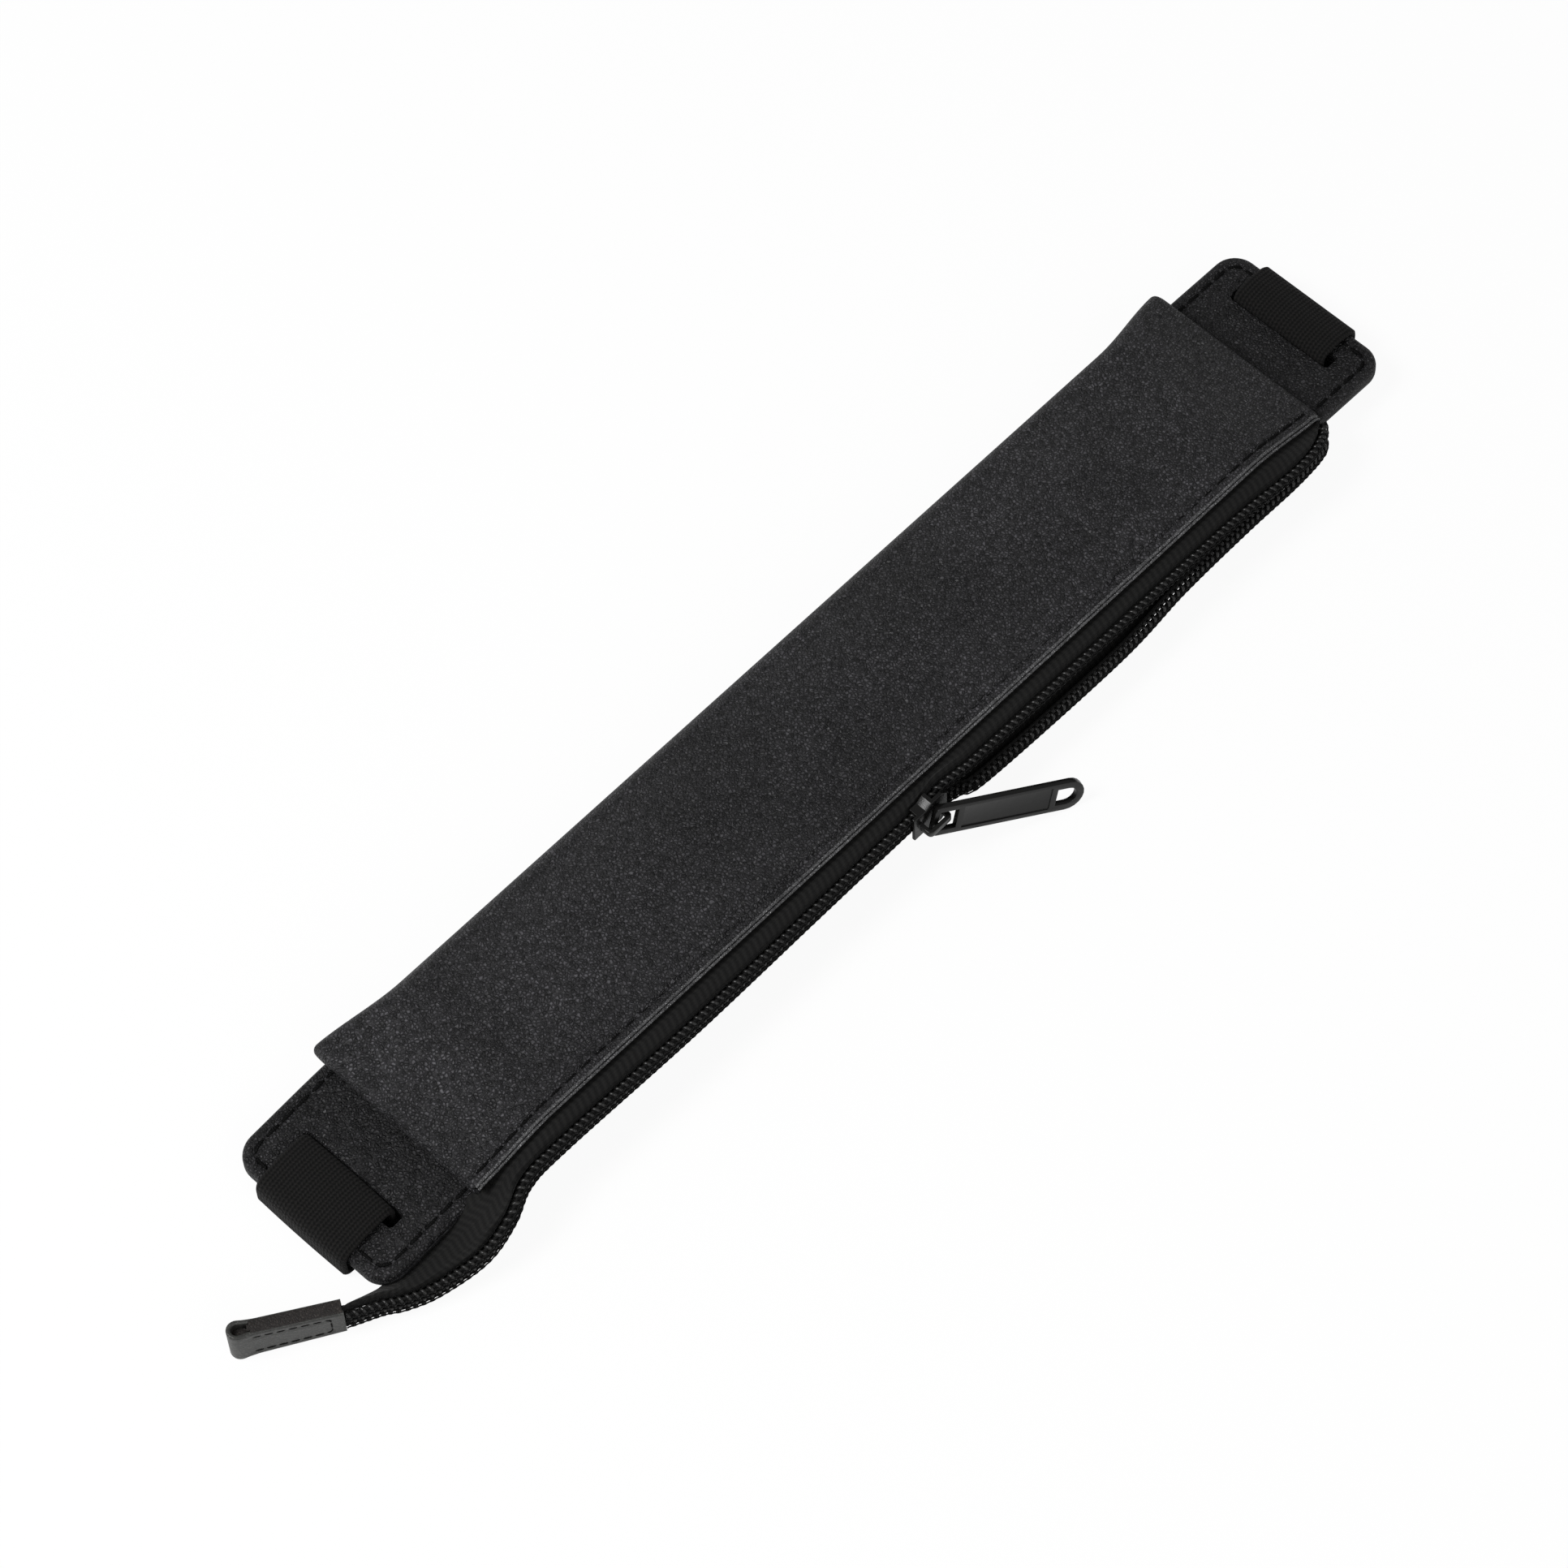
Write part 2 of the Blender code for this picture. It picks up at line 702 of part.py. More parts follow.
def slider_body():
    """Die-cast slider: outer plate with side flanges, back plate, post and bridge."""
    under = TOOTH_TOP + SLIDER_CLEARANCE
    over = under + SLIDER_WALL
    behind = -TAPE - GAP
    outline = slider_outline(0, SLIDER_MOUTH_HALF, SLIDER_THROAT_HALF)
    body = slider_prism("slider_body", outline, GAP, over)
    channel = [
        (-SLIDER_LENGTH, -SLIDER_THROAT_HALF + SLIDER_WALL),
        (0, -SLIDER_THROAT_HALF + SLIDER_WALL),
        (SLIDER_LENGTH / 8, -SLIDER_MOUTH_HALF + SLIDER_WALL),
        (SLIDER_LENGTH, -SLIDER_MOUTH_HALF + SLIDER_WALL),
        (SLIDER_LENGTH, SLIDER_MOUTH_HALF - SLIDER_WALL),
        (SLIDER_LENGTH / 8, SLIDER_MOUTH_HALF - SLIDER_WALL),
        (0, SLIDER_THROAT_HALF - SLIDER_WALL),
        (-SLIDER_LENGTH, SLIDER_THROAT_HALF - SLIDER_WALL),
    ]
    cut(body, slider_prism("slider_channel", channel, -OVERRUN, under, cutters))
    back_outline = slider_outline(0, SLIDER_BACK_HALF, SLIDER_BACK_HALF)
    back = slider_prism("slider_back", back_outline, behind - SLIDER_WALL, behind, cutters)
    cut(body, back, "UNION")
    end = SLIDER_LENGTH / 2
    start = end - SLIDER_POST_LENGTH
    post = [
        (start, 0),
        (start + SLIDER_POST_LENGTH / 2, -SLIDER_POST_HALF),
        (end, -SLIDER_POST_HALF),
        (end, SLIDER_POST_HALF),
        (start + SLIDER_POST_LENGTH / 2, SLIDER_POST_HALF),
    ]
    middle = slider_prism("slider_post", post, behind - SLIDER_WALL / 2, under + SLIDER_WALL / 2, cutters)
    cut(body, middle, "UNION")
    cut(body, slider_bridge(over), "UNION")
    mesh = baked(body)
    return finish(add_object("slider_body", mesh), PAINTED_METAL, 0.3, 0.6, angle=30)


def slider_bridge(base):
    """The arch on the slider that carries the pull."""
    place, along, across, outward = slider_axes()
    top = BRIDGE_HOLE + BRIDGE_WALL
    sunk = SLIDER_WALL / 2
    half = BRIDGE_LENGTH / 2
    r = BRIDGE_WALL
    outer = [(half, -sunk), *arc((half - r, top - r), r, 0, 90, 3)]
    outer += [*arc((r - half, top - r), r, 90, 180, 3), (-half, -sunk)]
    hole = half - BRIDGE_WALL
    inner = [(-hole, -sunk), (-hole, BRIDGE_HOLE), (hole, BRIDGE_HOLE), (hole, -sunk)]
    centre = place + along * BRIDGE_OFFSET + outward * base
    rings = [
        [centre + along * x + outward * z + across * y for x, z in outer + inner]
        for y in (-BRIDGE_WIDTH / 2, BRIDGE_WIDTH / 2)
    ]
    return loft("slider_bridge", rings, cutters)


def pull_axes():
    """Hinge point, length, hinge axis and face normal of the pull at rest."""
    place, along, across, outward = slider_axes()
    bar_height = TOOTH_TOP + SLIDER_CLEARANCE + SLIDER_WALL + BRIDGE_HOLE / 2
    hinge = place + along * BRIDGE_OFFSET + outward * bar_height
    flat_way = along * math.cos(PULL_SWAY) - across * math.sin(PULL_SWAY)
    level_axis = along * math.sin(PULL_SWAY) + across * math.cos(PULL_SWAY)
    length = flat_way * math.cos(PULL_LIFT) + outward * math.sin(PULL_LIFT)
    axis = level_axis * math.cos(PULL_TWIST) - length.cross(level_axis) * math.sin(PULL_TWIST)
    return hinge, length, axis, length.cross(axis)


def pull_prism(name, outline, low, high, collection=part):
    """Extrudes an outline of (length, width) points between two heights off the pull's middle."""
    hinge, length, axis, normal = pull_axes()
    rings = [[hinge + length * x + axis * y + normal * z for x, y in outline] for z in (low, high)]
    return loft(name, rings, collection)


def pull_tab():
    """Pull with a window round the bridge, a sunk panel on each face and a hole at its end."""
    half = PULL_WIDTH / 2
    near = PULL_BAR / 2
    thick = PULL_THICKNESS / 2
    corner = PULL_ARM
    outline = arc((corner - near, corner - half), corner, 270, 180, 3)
    outline += arc((corner - near, half - corner), corner, 180, 90, 3)
    outline += arc((PULL_REACH, 0), half, 90, -90, 10)
    obj = pull_prism("pull_tab", outline, -thick, thick)
    window_half = half - PULL_ARM
    window = [
        (near, -window_half),
        (PULL_WINDOW_END, -window_half),
        (PULL_WINDOW_END, window_half),
        (near, window_half),
    ]
    cut(obj, pull_prism("pull_window", window, -thick - OVERRUN, thick + OVERRUN, cutters))
    hole = arc((PULL_REACH, 0), PULL_HOLE_RADIUS, 90, -90, 8)
    hole += [(PULL_REACH - PULL_HOLE_BACK, -PULL_HOLE_RADIUS), (PULL_REACH - PULL_HOLE_BACK, PULL_HOLE_RADIUS)]
    cut(obj, pull_prism("pull_hole", hole, -thick - OVERRUN, thick + OVERRUN, cutters))
    start = PULL_WINDOW_END + PULL_PANEL_MARGIN
    end = PULL_REACH - PULL_HOLE_BACK - PULL_PANEL_MARGIN
    wide = half - PULL_RIM
    panel = [(start, -wide), (end, -wide), (end, wide), (start, wide)]
    for name, low, high in (
        ("front_panel_recess", thick - PULL_RECESS, thick + OVERRUN),
        ("back_panel_recess", -thick - OVERRUN, PULL_RECESS - thick),
    ):
        cut(obj, pull_prism(name, panel, low, high, cutters))
    mesh = baked(obj)
    return finish(add_object("pull_tab", mesh), PAINTED_METAL, 0.3, 0.6, angle=30)


# Tail tab


def tail_tab():
    """A leather strip folded round the end of the zip, with an open loop at the fold."""
    start = UPPER_ROUTE[TEETH_START_STATION]
    inward = (UPPER_ROUTE[0] - start).normalized()
    inward.z = 0
    inward.normalize()
    side = inward.cross(UP)
    leaf = TAB_SLIT / 2 + TAB_LEATHER / 2
    loop = TAB_LOOP_RADIUS
    centre = TAB_LENGTH - loop - TAB_LEATHER / 2
    neck = centre - loop
    path = [(0, -leaf), (neck / 2, -leaf), (neck - loop, -leaf)]
    path += arc((centre, 0), loop, -120, 120, 8)
    path += [(neck - loop, leaf), (neck / 2, leaf), (0, leaf)]
    base = Vector((start.x, start.y, TAB_LIFT)) + side * TAPE / 2
    low = [base + inward * x + side * y for x, y in path]
    flare = (TAB_LOOP_HEIGHT - TAB_MOUTH_HEIGHT) / TAB_LENGTH
    rows = [low, [point + UP * (TAB_MOUTH_HEIGHT + flare * x) for point, (x, _) in zip(low, path)]]
    return finish(sheet("tail_tab", rows, TAB_LEATHER), LEATHER, 0.3)


def main():
    """Builds every piece."""
    clear_scene()
    plate_front()
    plate_board()
    plate_back()
    strap_loop("strap_loop_left", -1)
    strap_loop("strap_loop_right", 1)
    strap_run()
    pouch_shell()
    hem_binding()
    zip_tape("zip_tape_upper", UPPER_ROUTE, False)
    zip_tape("zip_tape_lower", LOWER_ROUTE, True)
    zip_coil("zip_coil_upper", UPPER_ROUTE, False)
    zip_coil("zip_coil_lower", LOWER_ROUTE, True)
    slider_body()
    pull_tab()
    tail_tab()


main()
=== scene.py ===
"""Looks for a zipped leather pen pouch on a stiff plate with an elastic strap.

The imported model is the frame. Lengths here are in millimetres until a mesh is made.
"""

import math

import bmesh
import bpy
import numpy as np
from mathutils import Matrix, Vector, noise


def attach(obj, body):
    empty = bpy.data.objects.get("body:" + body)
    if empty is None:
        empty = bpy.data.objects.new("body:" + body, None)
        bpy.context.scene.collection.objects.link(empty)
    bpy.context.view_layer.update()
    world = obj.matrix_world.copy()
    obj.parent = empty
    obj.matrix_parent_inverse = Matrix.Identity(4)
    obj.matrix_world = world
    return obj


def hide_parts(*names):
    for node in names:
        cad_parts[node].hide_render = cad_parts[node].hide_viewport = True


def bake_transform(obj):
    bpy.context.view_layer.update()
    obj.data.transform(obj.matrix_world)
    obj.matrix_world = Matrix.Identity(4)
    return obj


MM = 0.001
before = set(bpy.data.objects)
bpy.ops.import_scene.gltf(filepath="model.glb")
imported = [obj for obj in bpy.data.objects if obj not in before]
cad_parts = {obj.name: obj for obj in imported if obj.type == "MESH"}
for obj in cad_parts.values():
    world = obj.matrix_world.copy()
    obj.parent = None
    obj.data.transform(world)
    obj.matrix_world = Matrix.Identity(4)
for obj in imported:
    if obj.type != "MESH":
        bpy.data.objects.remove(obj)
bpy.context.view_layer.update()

# Sizes shared with the model
GAP = 0.3
# Length, width and corner radius
PLATE = (217.2, 31.7, 4.0)
PLATE_BOTTOM, PLATE_TOP = 4.3, 7.1
BEND_START, BEND_LENGTH, LEFT_SLOPE, RIGHT_SLOPE = 84.0, 12.0, 0.11, 0.03
# Length, width and corner radius of a slot, and how far its inner side lies from the plate's end
SLOT = (2.8, 20.0, 0.6)
SLOT_FROM_END = {-1: 10.0, 1: 7.6}
# Width, thickness, sideways offset and inner turn of the elastic
STRAP_WIDTH, STRAP, STRAP_OFFSET, STRAP_TURN = 18.0, 1.2, 0.5, 0.95
STRAP_RUN_HALF, TURNED_END = 77.7, 15.0
POUCH_LENGTH, POUCH_SHIFT = 182.2, 0.9
POUCH_FRONT, POUCH_BACK, DRAWN_IN = 16.2, 17.6, 2.2
END_HEIGHT, SIDE_HEIGHT, CROWN = 3.7, 6.1, 1.9
SIDE_TAPER, CROWN_TAPER = 16.0, 40.0
FRONT_PANEL, BACK_PANEL, END_WALL = 1.0, 0.8, 1.6
PITCH, TAPE = 1.15, 0.5
COIL_ROOT, COIL_TOP, COIL_HEAD = 1.8, 1.55, 0.45
TAPE_REACH, TAPE_REACH_END = 2.4, 2.0
POUCH_BASE = PLATE_TOP + GAP
POUCH_HALF = POUCH_LENGTH / 2
CHAIN_OUT, CHAIN_Z = 19.2, 9.5
# Length, height at the zip, height at the loop and thickness of the strip
TAB = (16.9, 5.6, 6.8, 0.75)

# Points of the rows from the tail to the pouch's right end, which part close to 0:
# shares of POUCH_HALF along, of CHAIN_OUT outward and of CHAIN_Z up
CLOSED = (
    (-1.2924, 0.647, 0.34), (-1.269, 0.719, 0.33), (-1.213, 0.8385, 0.29), (-1.181, 0.932, 0.27),
    (-1.132, 1.031, 0.30), (-1.053, 1.125, 0.48), (-0.991, 1.115, 0.79), (-0.932, 1.02, 0.98),
    (-0.844, 0.995, 1.0), (-0.559, 1.015, 1.0), (-0.284, 1.0, 1.0), (-0.09, 0.99, 1.0),
    (-0.035, 0.99, 1.0),
)
UPPER_OPEN = (
    (0.004, 0.984, 1.063), (0.028, 0.978, 1.11), (0.07, 0.99, 1.09), (0.12, 0.997, 1.065),
    (0.43, 0.99, 1.03), (0.6, 0.99, 1.02), (0.76, 1.0, 1.015), (0.87, 1.035, 1.0),
    (0.93, 1.015, 0.94), (0.965, 0.96, 0.84), (0.978, 0.93, 0.8), (0.985, 0.89, 0.82), (0.988, 0.85, 0.87),
)
LOWER_OPEN = (
    (0.004, 0.988, 0.937), (0.028, 0.988, 0.89), (0.07, 1.025, 0.85), (0.12, 1.075, 0.81),
    (0.43, 1.09, 0.77), (0.6, 1.04, 0.81), (0.76, 1.03, 0.85), (0.87, 1.035, 0.86),
    (0.93, 1.01, 0.8), (0.965, 0.97, 0.71), (0.978, 0.94, 0.67), (0.985, 0.9, 0.67), (0.988, 0.86, 0.7),
)
# Free edge of the tapes at the first points: outward and up for the upper, then for the lower
TAIL_EDGE = (
    (0.634, 0.57, 0.634, 0.08), (0.706, 0.57, 0.706, 0.08), (0.735, 0.3, 0.735, 0.06),
    (0.72, 0.16, 0.72, 0.05), (0.68, 0.17, 0.68, 0.05), (0.68, 0.33, 0.66, 0.1),
    (0.8, 0.8, 0.8, 0.5),
)


# Mesh helpers


def smooth(value):
    value = np.clip(value, 0, 1)
    return value * value * (3 - 2 * value)


def lengths(path):
    """Length travelled up to each point of a path."""
    return np.concatenate([[0], np.cumsum(np.linalg.norm(np.diff(path, axis=0), axis=1))])


def spread(along, across):
    """UVs of a grid from the lengths along and across it."""
    return np.stack(np.meshgrid(along, across, indexing="ij"), axis=2)


class Build:
    """Collects closed grids into one mesh, with lengths along and across as UVs."""

    def __init__(self):
        self.points, self.faces, self.uvs = [], [], []
        self.count = 0

    def grid(self, rows, uv=None):
        """Adds a grid of points, with each row closed and the first and last one filled."""
        rows = np.asarray(rows, float)
        n, m = rows.shape[:2]
        index = np.arange(n * m).reshape(n, m) + self.count
        if uv is None:
            steps = np.linalg.norm(np.diff(rows, axis=1), axis=2).mean(axis=0)
            across = np.concatenate([[0], np.cumsum(steps)])
            uv = spread(lengths(rows.mean(axis=1)), across)
        self.points.append(rows.reshape(-1, 3))
        for i in range(n - 1):
            for j in range(m):
                k = (j + 1) % m
                self.faces.append((index[i, j], index[i, k], index[i + 1, k], index[i + 1, j]))
                self.uvs += [uv[i, j], uv[i, k], uv[i + 1, k], uv[i + 1, j]]
        for row, order in ((0, -1), (n - 1, 1)):
            self.faces.append(tuple(index[row][::order]))
            self.uvs += list(uv[row][::order])
        self.count += n * m
        return self

    def tube(self, path, radius, sides=8, flat=1.0, up=(0, 0, 1)):
        """Adds a bar along a path; flat scales it along its normal, which up gives once or at each point."""
        path = np.asarray(path, float)
        tangent = np.gradient(path, axis=0)
        tangent /= np.linalg.norm(tangent, axis=1)[:, None] + 1e-12
        normal = np.zeros_like(path)
        up = np.asarray(up, float)
        start = up if up.ndim == 1 else up[0]
        for i, t in enumerate(tangent):
            start = start if up.ndim == 1 else up[i]
            start = start - t * start.dot(t)
            if np.linalg.norm(start) < 1e-6:
                start = np.cross(t, (1.0, 0.3, 0.2))
            start = start / np.linalg.norm(start)
            normal[i] = start
        side = np.cross(tangent, normal)
        angle = np.linspace(0, 2 * math.pi, sides, endpoint=False)
        ring = path[:, None] + radius * (
            side[:, None] * np.cos(angle)[None, :, None]
            + flat * normal[:, None] * np.sin(angle)[None, :, None]
        )
        return self.grid(ring)

    def object(self, name, material, body, replaced=None, angle=50):
        """Makes the object and places it."""
        mesh = bpy.data.meshes.new(name)
        mesh.from_pydata((np.concatenate(self.points) * MM).tolist(), [], self.faces)
        layer = mesh.uv_layers.new(name="metres")
        layer.data.foreach_set("uv", (np.asarray(self.uvs, float) * MM).ravel())
        mesh.validate()
        return place(name, mesh, material, body, replaced, angle)


def place(name, mesh, material, body, replaced=None, angle=50):
    """Links a mesh as a piece and lets it stand for a node of the model.

    It rides on the named body; where body is two points instead, the points are not used and the piece stays
    where it is made.
    Faces that meet at more than the angle, in degrees, keep a sharp edge.
    """
    bm = bmesh.new()
    bm.from_mesh(mesh)
    bmesh.ops.remove_doubles(bm, verts=bm.verts, dist=1e-7)
    bmesh.ops.recalc_face_normals(bm, faces=bm.faces)
    bm.to_mesh(mesh)
    bm.free()
    obj = bpy.data.objects.new(name, mesh)
    bpy.context.scene.collection.objects.link(obj)
    mesh.shade_smooth()
    mesh.set_sharp_from_angle(angle=math.radians(angle))
    mesh.materials.append(material)
    if isinstance(body, str):
        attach(obj, body)
    else:
        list(body)
        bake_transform(obj)
    if replaced:
        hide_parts(replaced)
    return obj


def arc(centre, radius, start, end, steps):
    """Points of a 2D arc, ends included; angles in degrees."""
    angles = np.radians(np.linspace(start, end, steps + 1))
    return [(centre[0] + radius * math.cos(a), centre[1] + radius * math.sin(a)) for a in angles]


def rounded_box(half_x, half_y, radius, steps, centre=(0, 0)):
    """Outline of a rectangle with round corners."""
    outline = []
    for sx, sy, start in ((1, 1, 0), (-1, 1, 90), (-1, -1, 180), (1, -1, 270)):
        middle = (centre[0] + sx * (half_x - radius), centre[1] + sy * (half_y - radius))
        outline += arc(middle, radius, start, start + 90, steps)
    return outline


def catmull(points, u):
    """Catmull-Rom through the points; u counts them from 0."""
    last = len(points) - 1
    i = min(int(u), last - 1)
    t = u - i
    a, b, c, d = (points[min(max(k, 0), last)] for k in (i - 1, i, i + 1, i + 2))
    return (b * 2 + (c - a) * t + (a * 2 - b * 5 + c * 4 - d) * t**2 + (b * 3 - a - c * 3 + d) * t**3) / 2


def wobble(x, y, scale, shift):
    """Smooth noise over the plane, about -1 to 1, the same at each run."""
    return noise.noise(Vector((x / scale + shift, y / scale - shift, 0)))


def bend(x):
    """How far the plate has dropped at a place along its length."""
    past = np.abs(x) - BEND_START
    drop = np.clip(past, 0, BEND_LENGTH) ** 2 / (2 * BEND_LENGTH) + np.clip(past - BEND_LENGTH, 0, None)
    return drop * np.where(np.asarray(x) < 0, LEFT_SLOPE, RIGHT_SLOPE)


# Materials


class Shader:
    """A Principled material with a few short ways to wire nodes."""

    def __init__(self, name, **values):
        self.material = bpy.data.materials.new(name)
        self.material.use_nodes = True
        self.tree = self.material.node_tree
        self.bsdf = self.tree.nodes["Principled BSDF"]
        for socket, value in values.items():
            self.bsdf.inputs[socket.replace("_", " ")].default_value = value

    def node(self, kind, inputs=None, **settings):
        made = self.tree.nodes.new(kind)
        for key, value in settings.items():
            setattr(made, key, value)
        for socket, value in (inputs or {}).items():
            if isinstance(value, bpy.types.NodeSocket):
                self.tree.links.new(value, made.inputs[socket])
            else:
                made.inputs[socket].default_value = value
        return made

    def math(self, operation, a, b=0.0, c=0.0):
        return self.node("ShaderNodeMath", {0: a, 1: b, 2: c}, operation=operation).outputs[0]

    def total(self, *parts):
        """Weighted sum of pairs of a value and its weight."""
        result = None
        for value, weight in parts:
            value = self.math("MULTIPLY", value, weight)
            result = value if result is None else self.math("ADD", result, value)
        return result

    def phase(self, length, pitch):
        """Angle that makes one turn at each pitch, given in millimetres."""
        return self.math("MULTIPLY", length, 2 * math.pi / (pitch * MM))

    def wave(self, angle):
        """Sine between 0 and 1."""
        return self.math("MULTIPLY_ADD", self.math("SINE", angle), 0.5, 0.5)

    def mapped(self, value, low, high, to_low=0.0, to_high=1.0):
        ends = {"Value": value, "From Min": low, "From Max": high, "To Min": to_low, "To Max": to_high}
        return self.node("ShaderNodeMapRange", ends, interpolation_type="SMOOTHSTEP").outputs[0]

    def mix(self, factor, a, b):
        made = self.node("ShaderNodeMix", data_type="RGBA")
        # Sockets 6 and 7 are the colours
        for i, value in ((0, factor), (6, a), (7, b)):
            if isinstance(value, bpy.types.NodeSocket):
                self.tree.links.new(value, made.inputs[i])
            else:
                made.inputs[i].default_value = value if i == 0 else (*value, 1.0)
        return made.outputs[2]

    def noise(self, vector, scale, detail=2.0, roughness=0.5):
        inputs = {"Vector": vector, "Scale": scale, "Detail": detail, "Roughness": roughness}
        return self.node("ShaderNodeTexNoise", inputs).outputs[0]

    def bump(self, height, depth):
        """Relief of the surface, with its depth in millimetres."""
        inputs = {"Height": height, "Distance": depth * MM, "Strength": 1.0}
        return self.node("ShaderNodeBump", inputs).outputs[0]

    def plug(self, **sockets):
        for socket, value in sockets.items():
            self.tree.links.new(value, self.bsdf.inputs[socket.replace("_", " ")])

    def place(self):
        return self.node("ShaderNodeTexCoord").outputs["Object"]

    def cloth(self):
        """Length along and across the cloth, in metres."""
        uv = self.node("ShaderNodeUVMap", uv_map="metres").outputs[0]
        split = self.node("ShaderNodeSeparateXYZ", {0: uv})
        return split.outputs[0], split.outputs[1]


def leather(name, dark, light, grain=0.52, depth=0.2, rough=(0.46, 0.6), level=0.36):
    """Pebbled leather: rounded cells between fine creases, with a slow drift of tone, and the colour darkened
    towards the creases as painted shade.

    Grain is the size of the cells and depth their relief; rough is the range of the roughness.
    """
    s = Shader(name, Specular_IOR_Level=level)
    at = s.place()
    warp = s.node("ShaderNodeTexNoise", {"Vector": at, "Scale": 700.0, "Detail": 2.0}).outputs["Color"]
    bent = s.node("ShaderNodeVectorMath", {0: warp, 1: (0.5, 0.5, 0.5)}, operation="SUBTRACT").outputs[0]
    bent = s.node("ShaderNodeVectorMath", {0: bent, "Scale": grain * MM * 1.3}, operation="SCALE").outputs[0]
    moved = s.node("ShaderNodeVectorMath", {0: at, 1: bent}, operation="ADD").outputs[0]
    ends = {"Vector": moved, "Scale": 1000 / grain}
    cells = s.node("ShaderNodeTexVoronoi", ends, feature="DISTANCE_TO_EDGE").outputs["Distance"]
    pebble = s.mapped(cells, 0.0, 0.32)
    tone = s.node("ShaderNodeTexVoronoi", ends, feature="F1").outputs["Color"]
    shade = s.node("ShaderNodeSeparateColor", {0: tone}).outputs[0]
    fine = s.noise(at, 2600.0, 3.0, 0.6)
    broad = s.mapped(s.noise(at, 45.0, 2.0), 0.3, 0.7)
    # The pebble factor darkens the colour towards the creases between cells: painted shade in the creases.
    # The cell's random tone and the broad drift are the leather's own colour.
    lift = s.math("MULTIPLY_ADD", pebble, 0.8, 0.2)
    lift = s.math("MULTIPLY", lift, s.math("MULTIPLY_ADD", shade, 0.9, 0.1))
    lift = s.math("MULTIPLY", lift, s.math("MULTIPLY_ADD", broad, 0.5, 0.5))
    s.plug(Base_Color=s.mix(lift, dark, light))
    s.plug(Roughness=s.mapped(s.total((fine, 0.5), (broad, 0.5)), 0.2, 0.8, *rough))
    s.plug(Normal=s.bump(s.total((pebble, 1.0), (shade, 0.35), (fine, 0.15)), depth))
    return s.material


def elastic(name):
    """Ribbed elastic: cords along its length, bound by fine weft, with painted shade darkening the low places
    between them.
    """
    s = Shader(name, Specular_IOR_Level=0.14, Sheen_Weight=0.02, Sheen_Roughness=0.6)
    along, across = s.cloth()
    rib_pitch, weft_pitch = 0.66, 0.52
    ribs = s.wave(s.phase(across, rib_pitch))
    shift = s.math("MULTIPLY", s.math("SINE", s.phase(across, 2 * rib_pitch)), 1.4)
    weft = s.wave(s.math("ADD", s.phase(along, weft_pitch), shift))
    fuzz = s.noise(s.place(), 3800.0, 2.0, 0.7)
    height = s.total((ribs, 0.5), (weft, 0.35), (fuzz, 0.6))
    # The colour follows the relief and is darker where it is low between cords and weft: painted shade. The
    # fuzz adds a random tone of its own.
    s.plug(Base_Color=s.mix(s.mapped(height, 0.4, 1.1), (0.0005, 0.0005, 0.0005), (0.009, 0.0083, 0.008)))
    s.plug(Roughness=s.mapped(fuzz, 0.2, 0.8, 0.7, 0.95))
    s.plug(Normal=s.bump(height, 0.24))
    return s.material


def woven(name):
    """Zip tape: a herringbone of short floats, crossed by fine yarns, with painted shade darkening the low
    places of the weave.
    """
    s = Shader(name, Specular_IOR_Level=0.18, Sheen_Weight=0.08, Sheen_Roughness=0.5)
    along, across = s.cloth()
    band, yarn_pitch = 1.5, 0.42
    zig = s.math("PINGPONG", s.math("DIVIDE", across, band * MM), 1.0)
    weave = s.wave(s.math("ADD", s.phase(along, PITCH), s.math("MULTIPLY", zig, 4.0)))
    yarn = s.wave(s.phase(across, yarn_pitch))
    fuzz = s.noise(s.place(), 4200.0, 2.0, 0.7)
    height = s.total((weave, 0.45), (yarn, 0.15), (fuzz, 0.6))
    # The colour follows the relief and is darker in the low places of the weave: painted shade. The fuzz adds
    # a random tone of its own.
    s.plug(Base_Color=s.mix(s.mapped(height, 0.2, 1.1), (0.0012, 0.0012, 0.0012), (0.009, 0.0088, 0.0083)))
    s.plug(Roughness=s.mapped(fuzz, 0.2, 0.8, 0.65, 0.92))
    s.plug(Normal=s.bump(height, 0.1))
    return s.material


def thread(name, light):
    """Twisted sewing thread, with painted shade darkening the grooves between its plies; light is the
    brightness of its plies.
    """
    s = Shader(name, Specular_IOR_Level=0.1)
    along, across = s.cloth()
    twist = s.wave(s.math("ADD", s.phase(along, 0.35), s.math("MULTIPLY", across, 4000.0)))
    fuzz = s.noise(s.place(), 5000.0, 2.0)
    # Darker between the plies, where the twist dips: painted shade.
    s.plug(Base_Color=s.mix(twist, (light * 0.4,) * 3, (light,) * 3))
    s.plug(Roughness=s.mapped(fuzz, 0.2, 0.8, 0.55, 0.8))
    s.plug(Normal=s.bump(twist, 0.05))
    return s.material


def nylon(name):
    """Black nylon monofilament with a faint drawn grain."""
    s = Shader(name, Specular_IOR_Level=0.38)
    grain = s.noise(s.place(), 1500.0, 3.0, 0.6)
    s.plug(Base_Color=s.mix(grain, (0.003, 0.003, 0.003), (0.011, 0.0107, 0.0103)))
    s.plug(Roughness=s.mapped(grain, 0.3, 0.7, 0.28, 0.44))
    s.plug(Normal=s.bump(grain, 0.02))
    return s.material


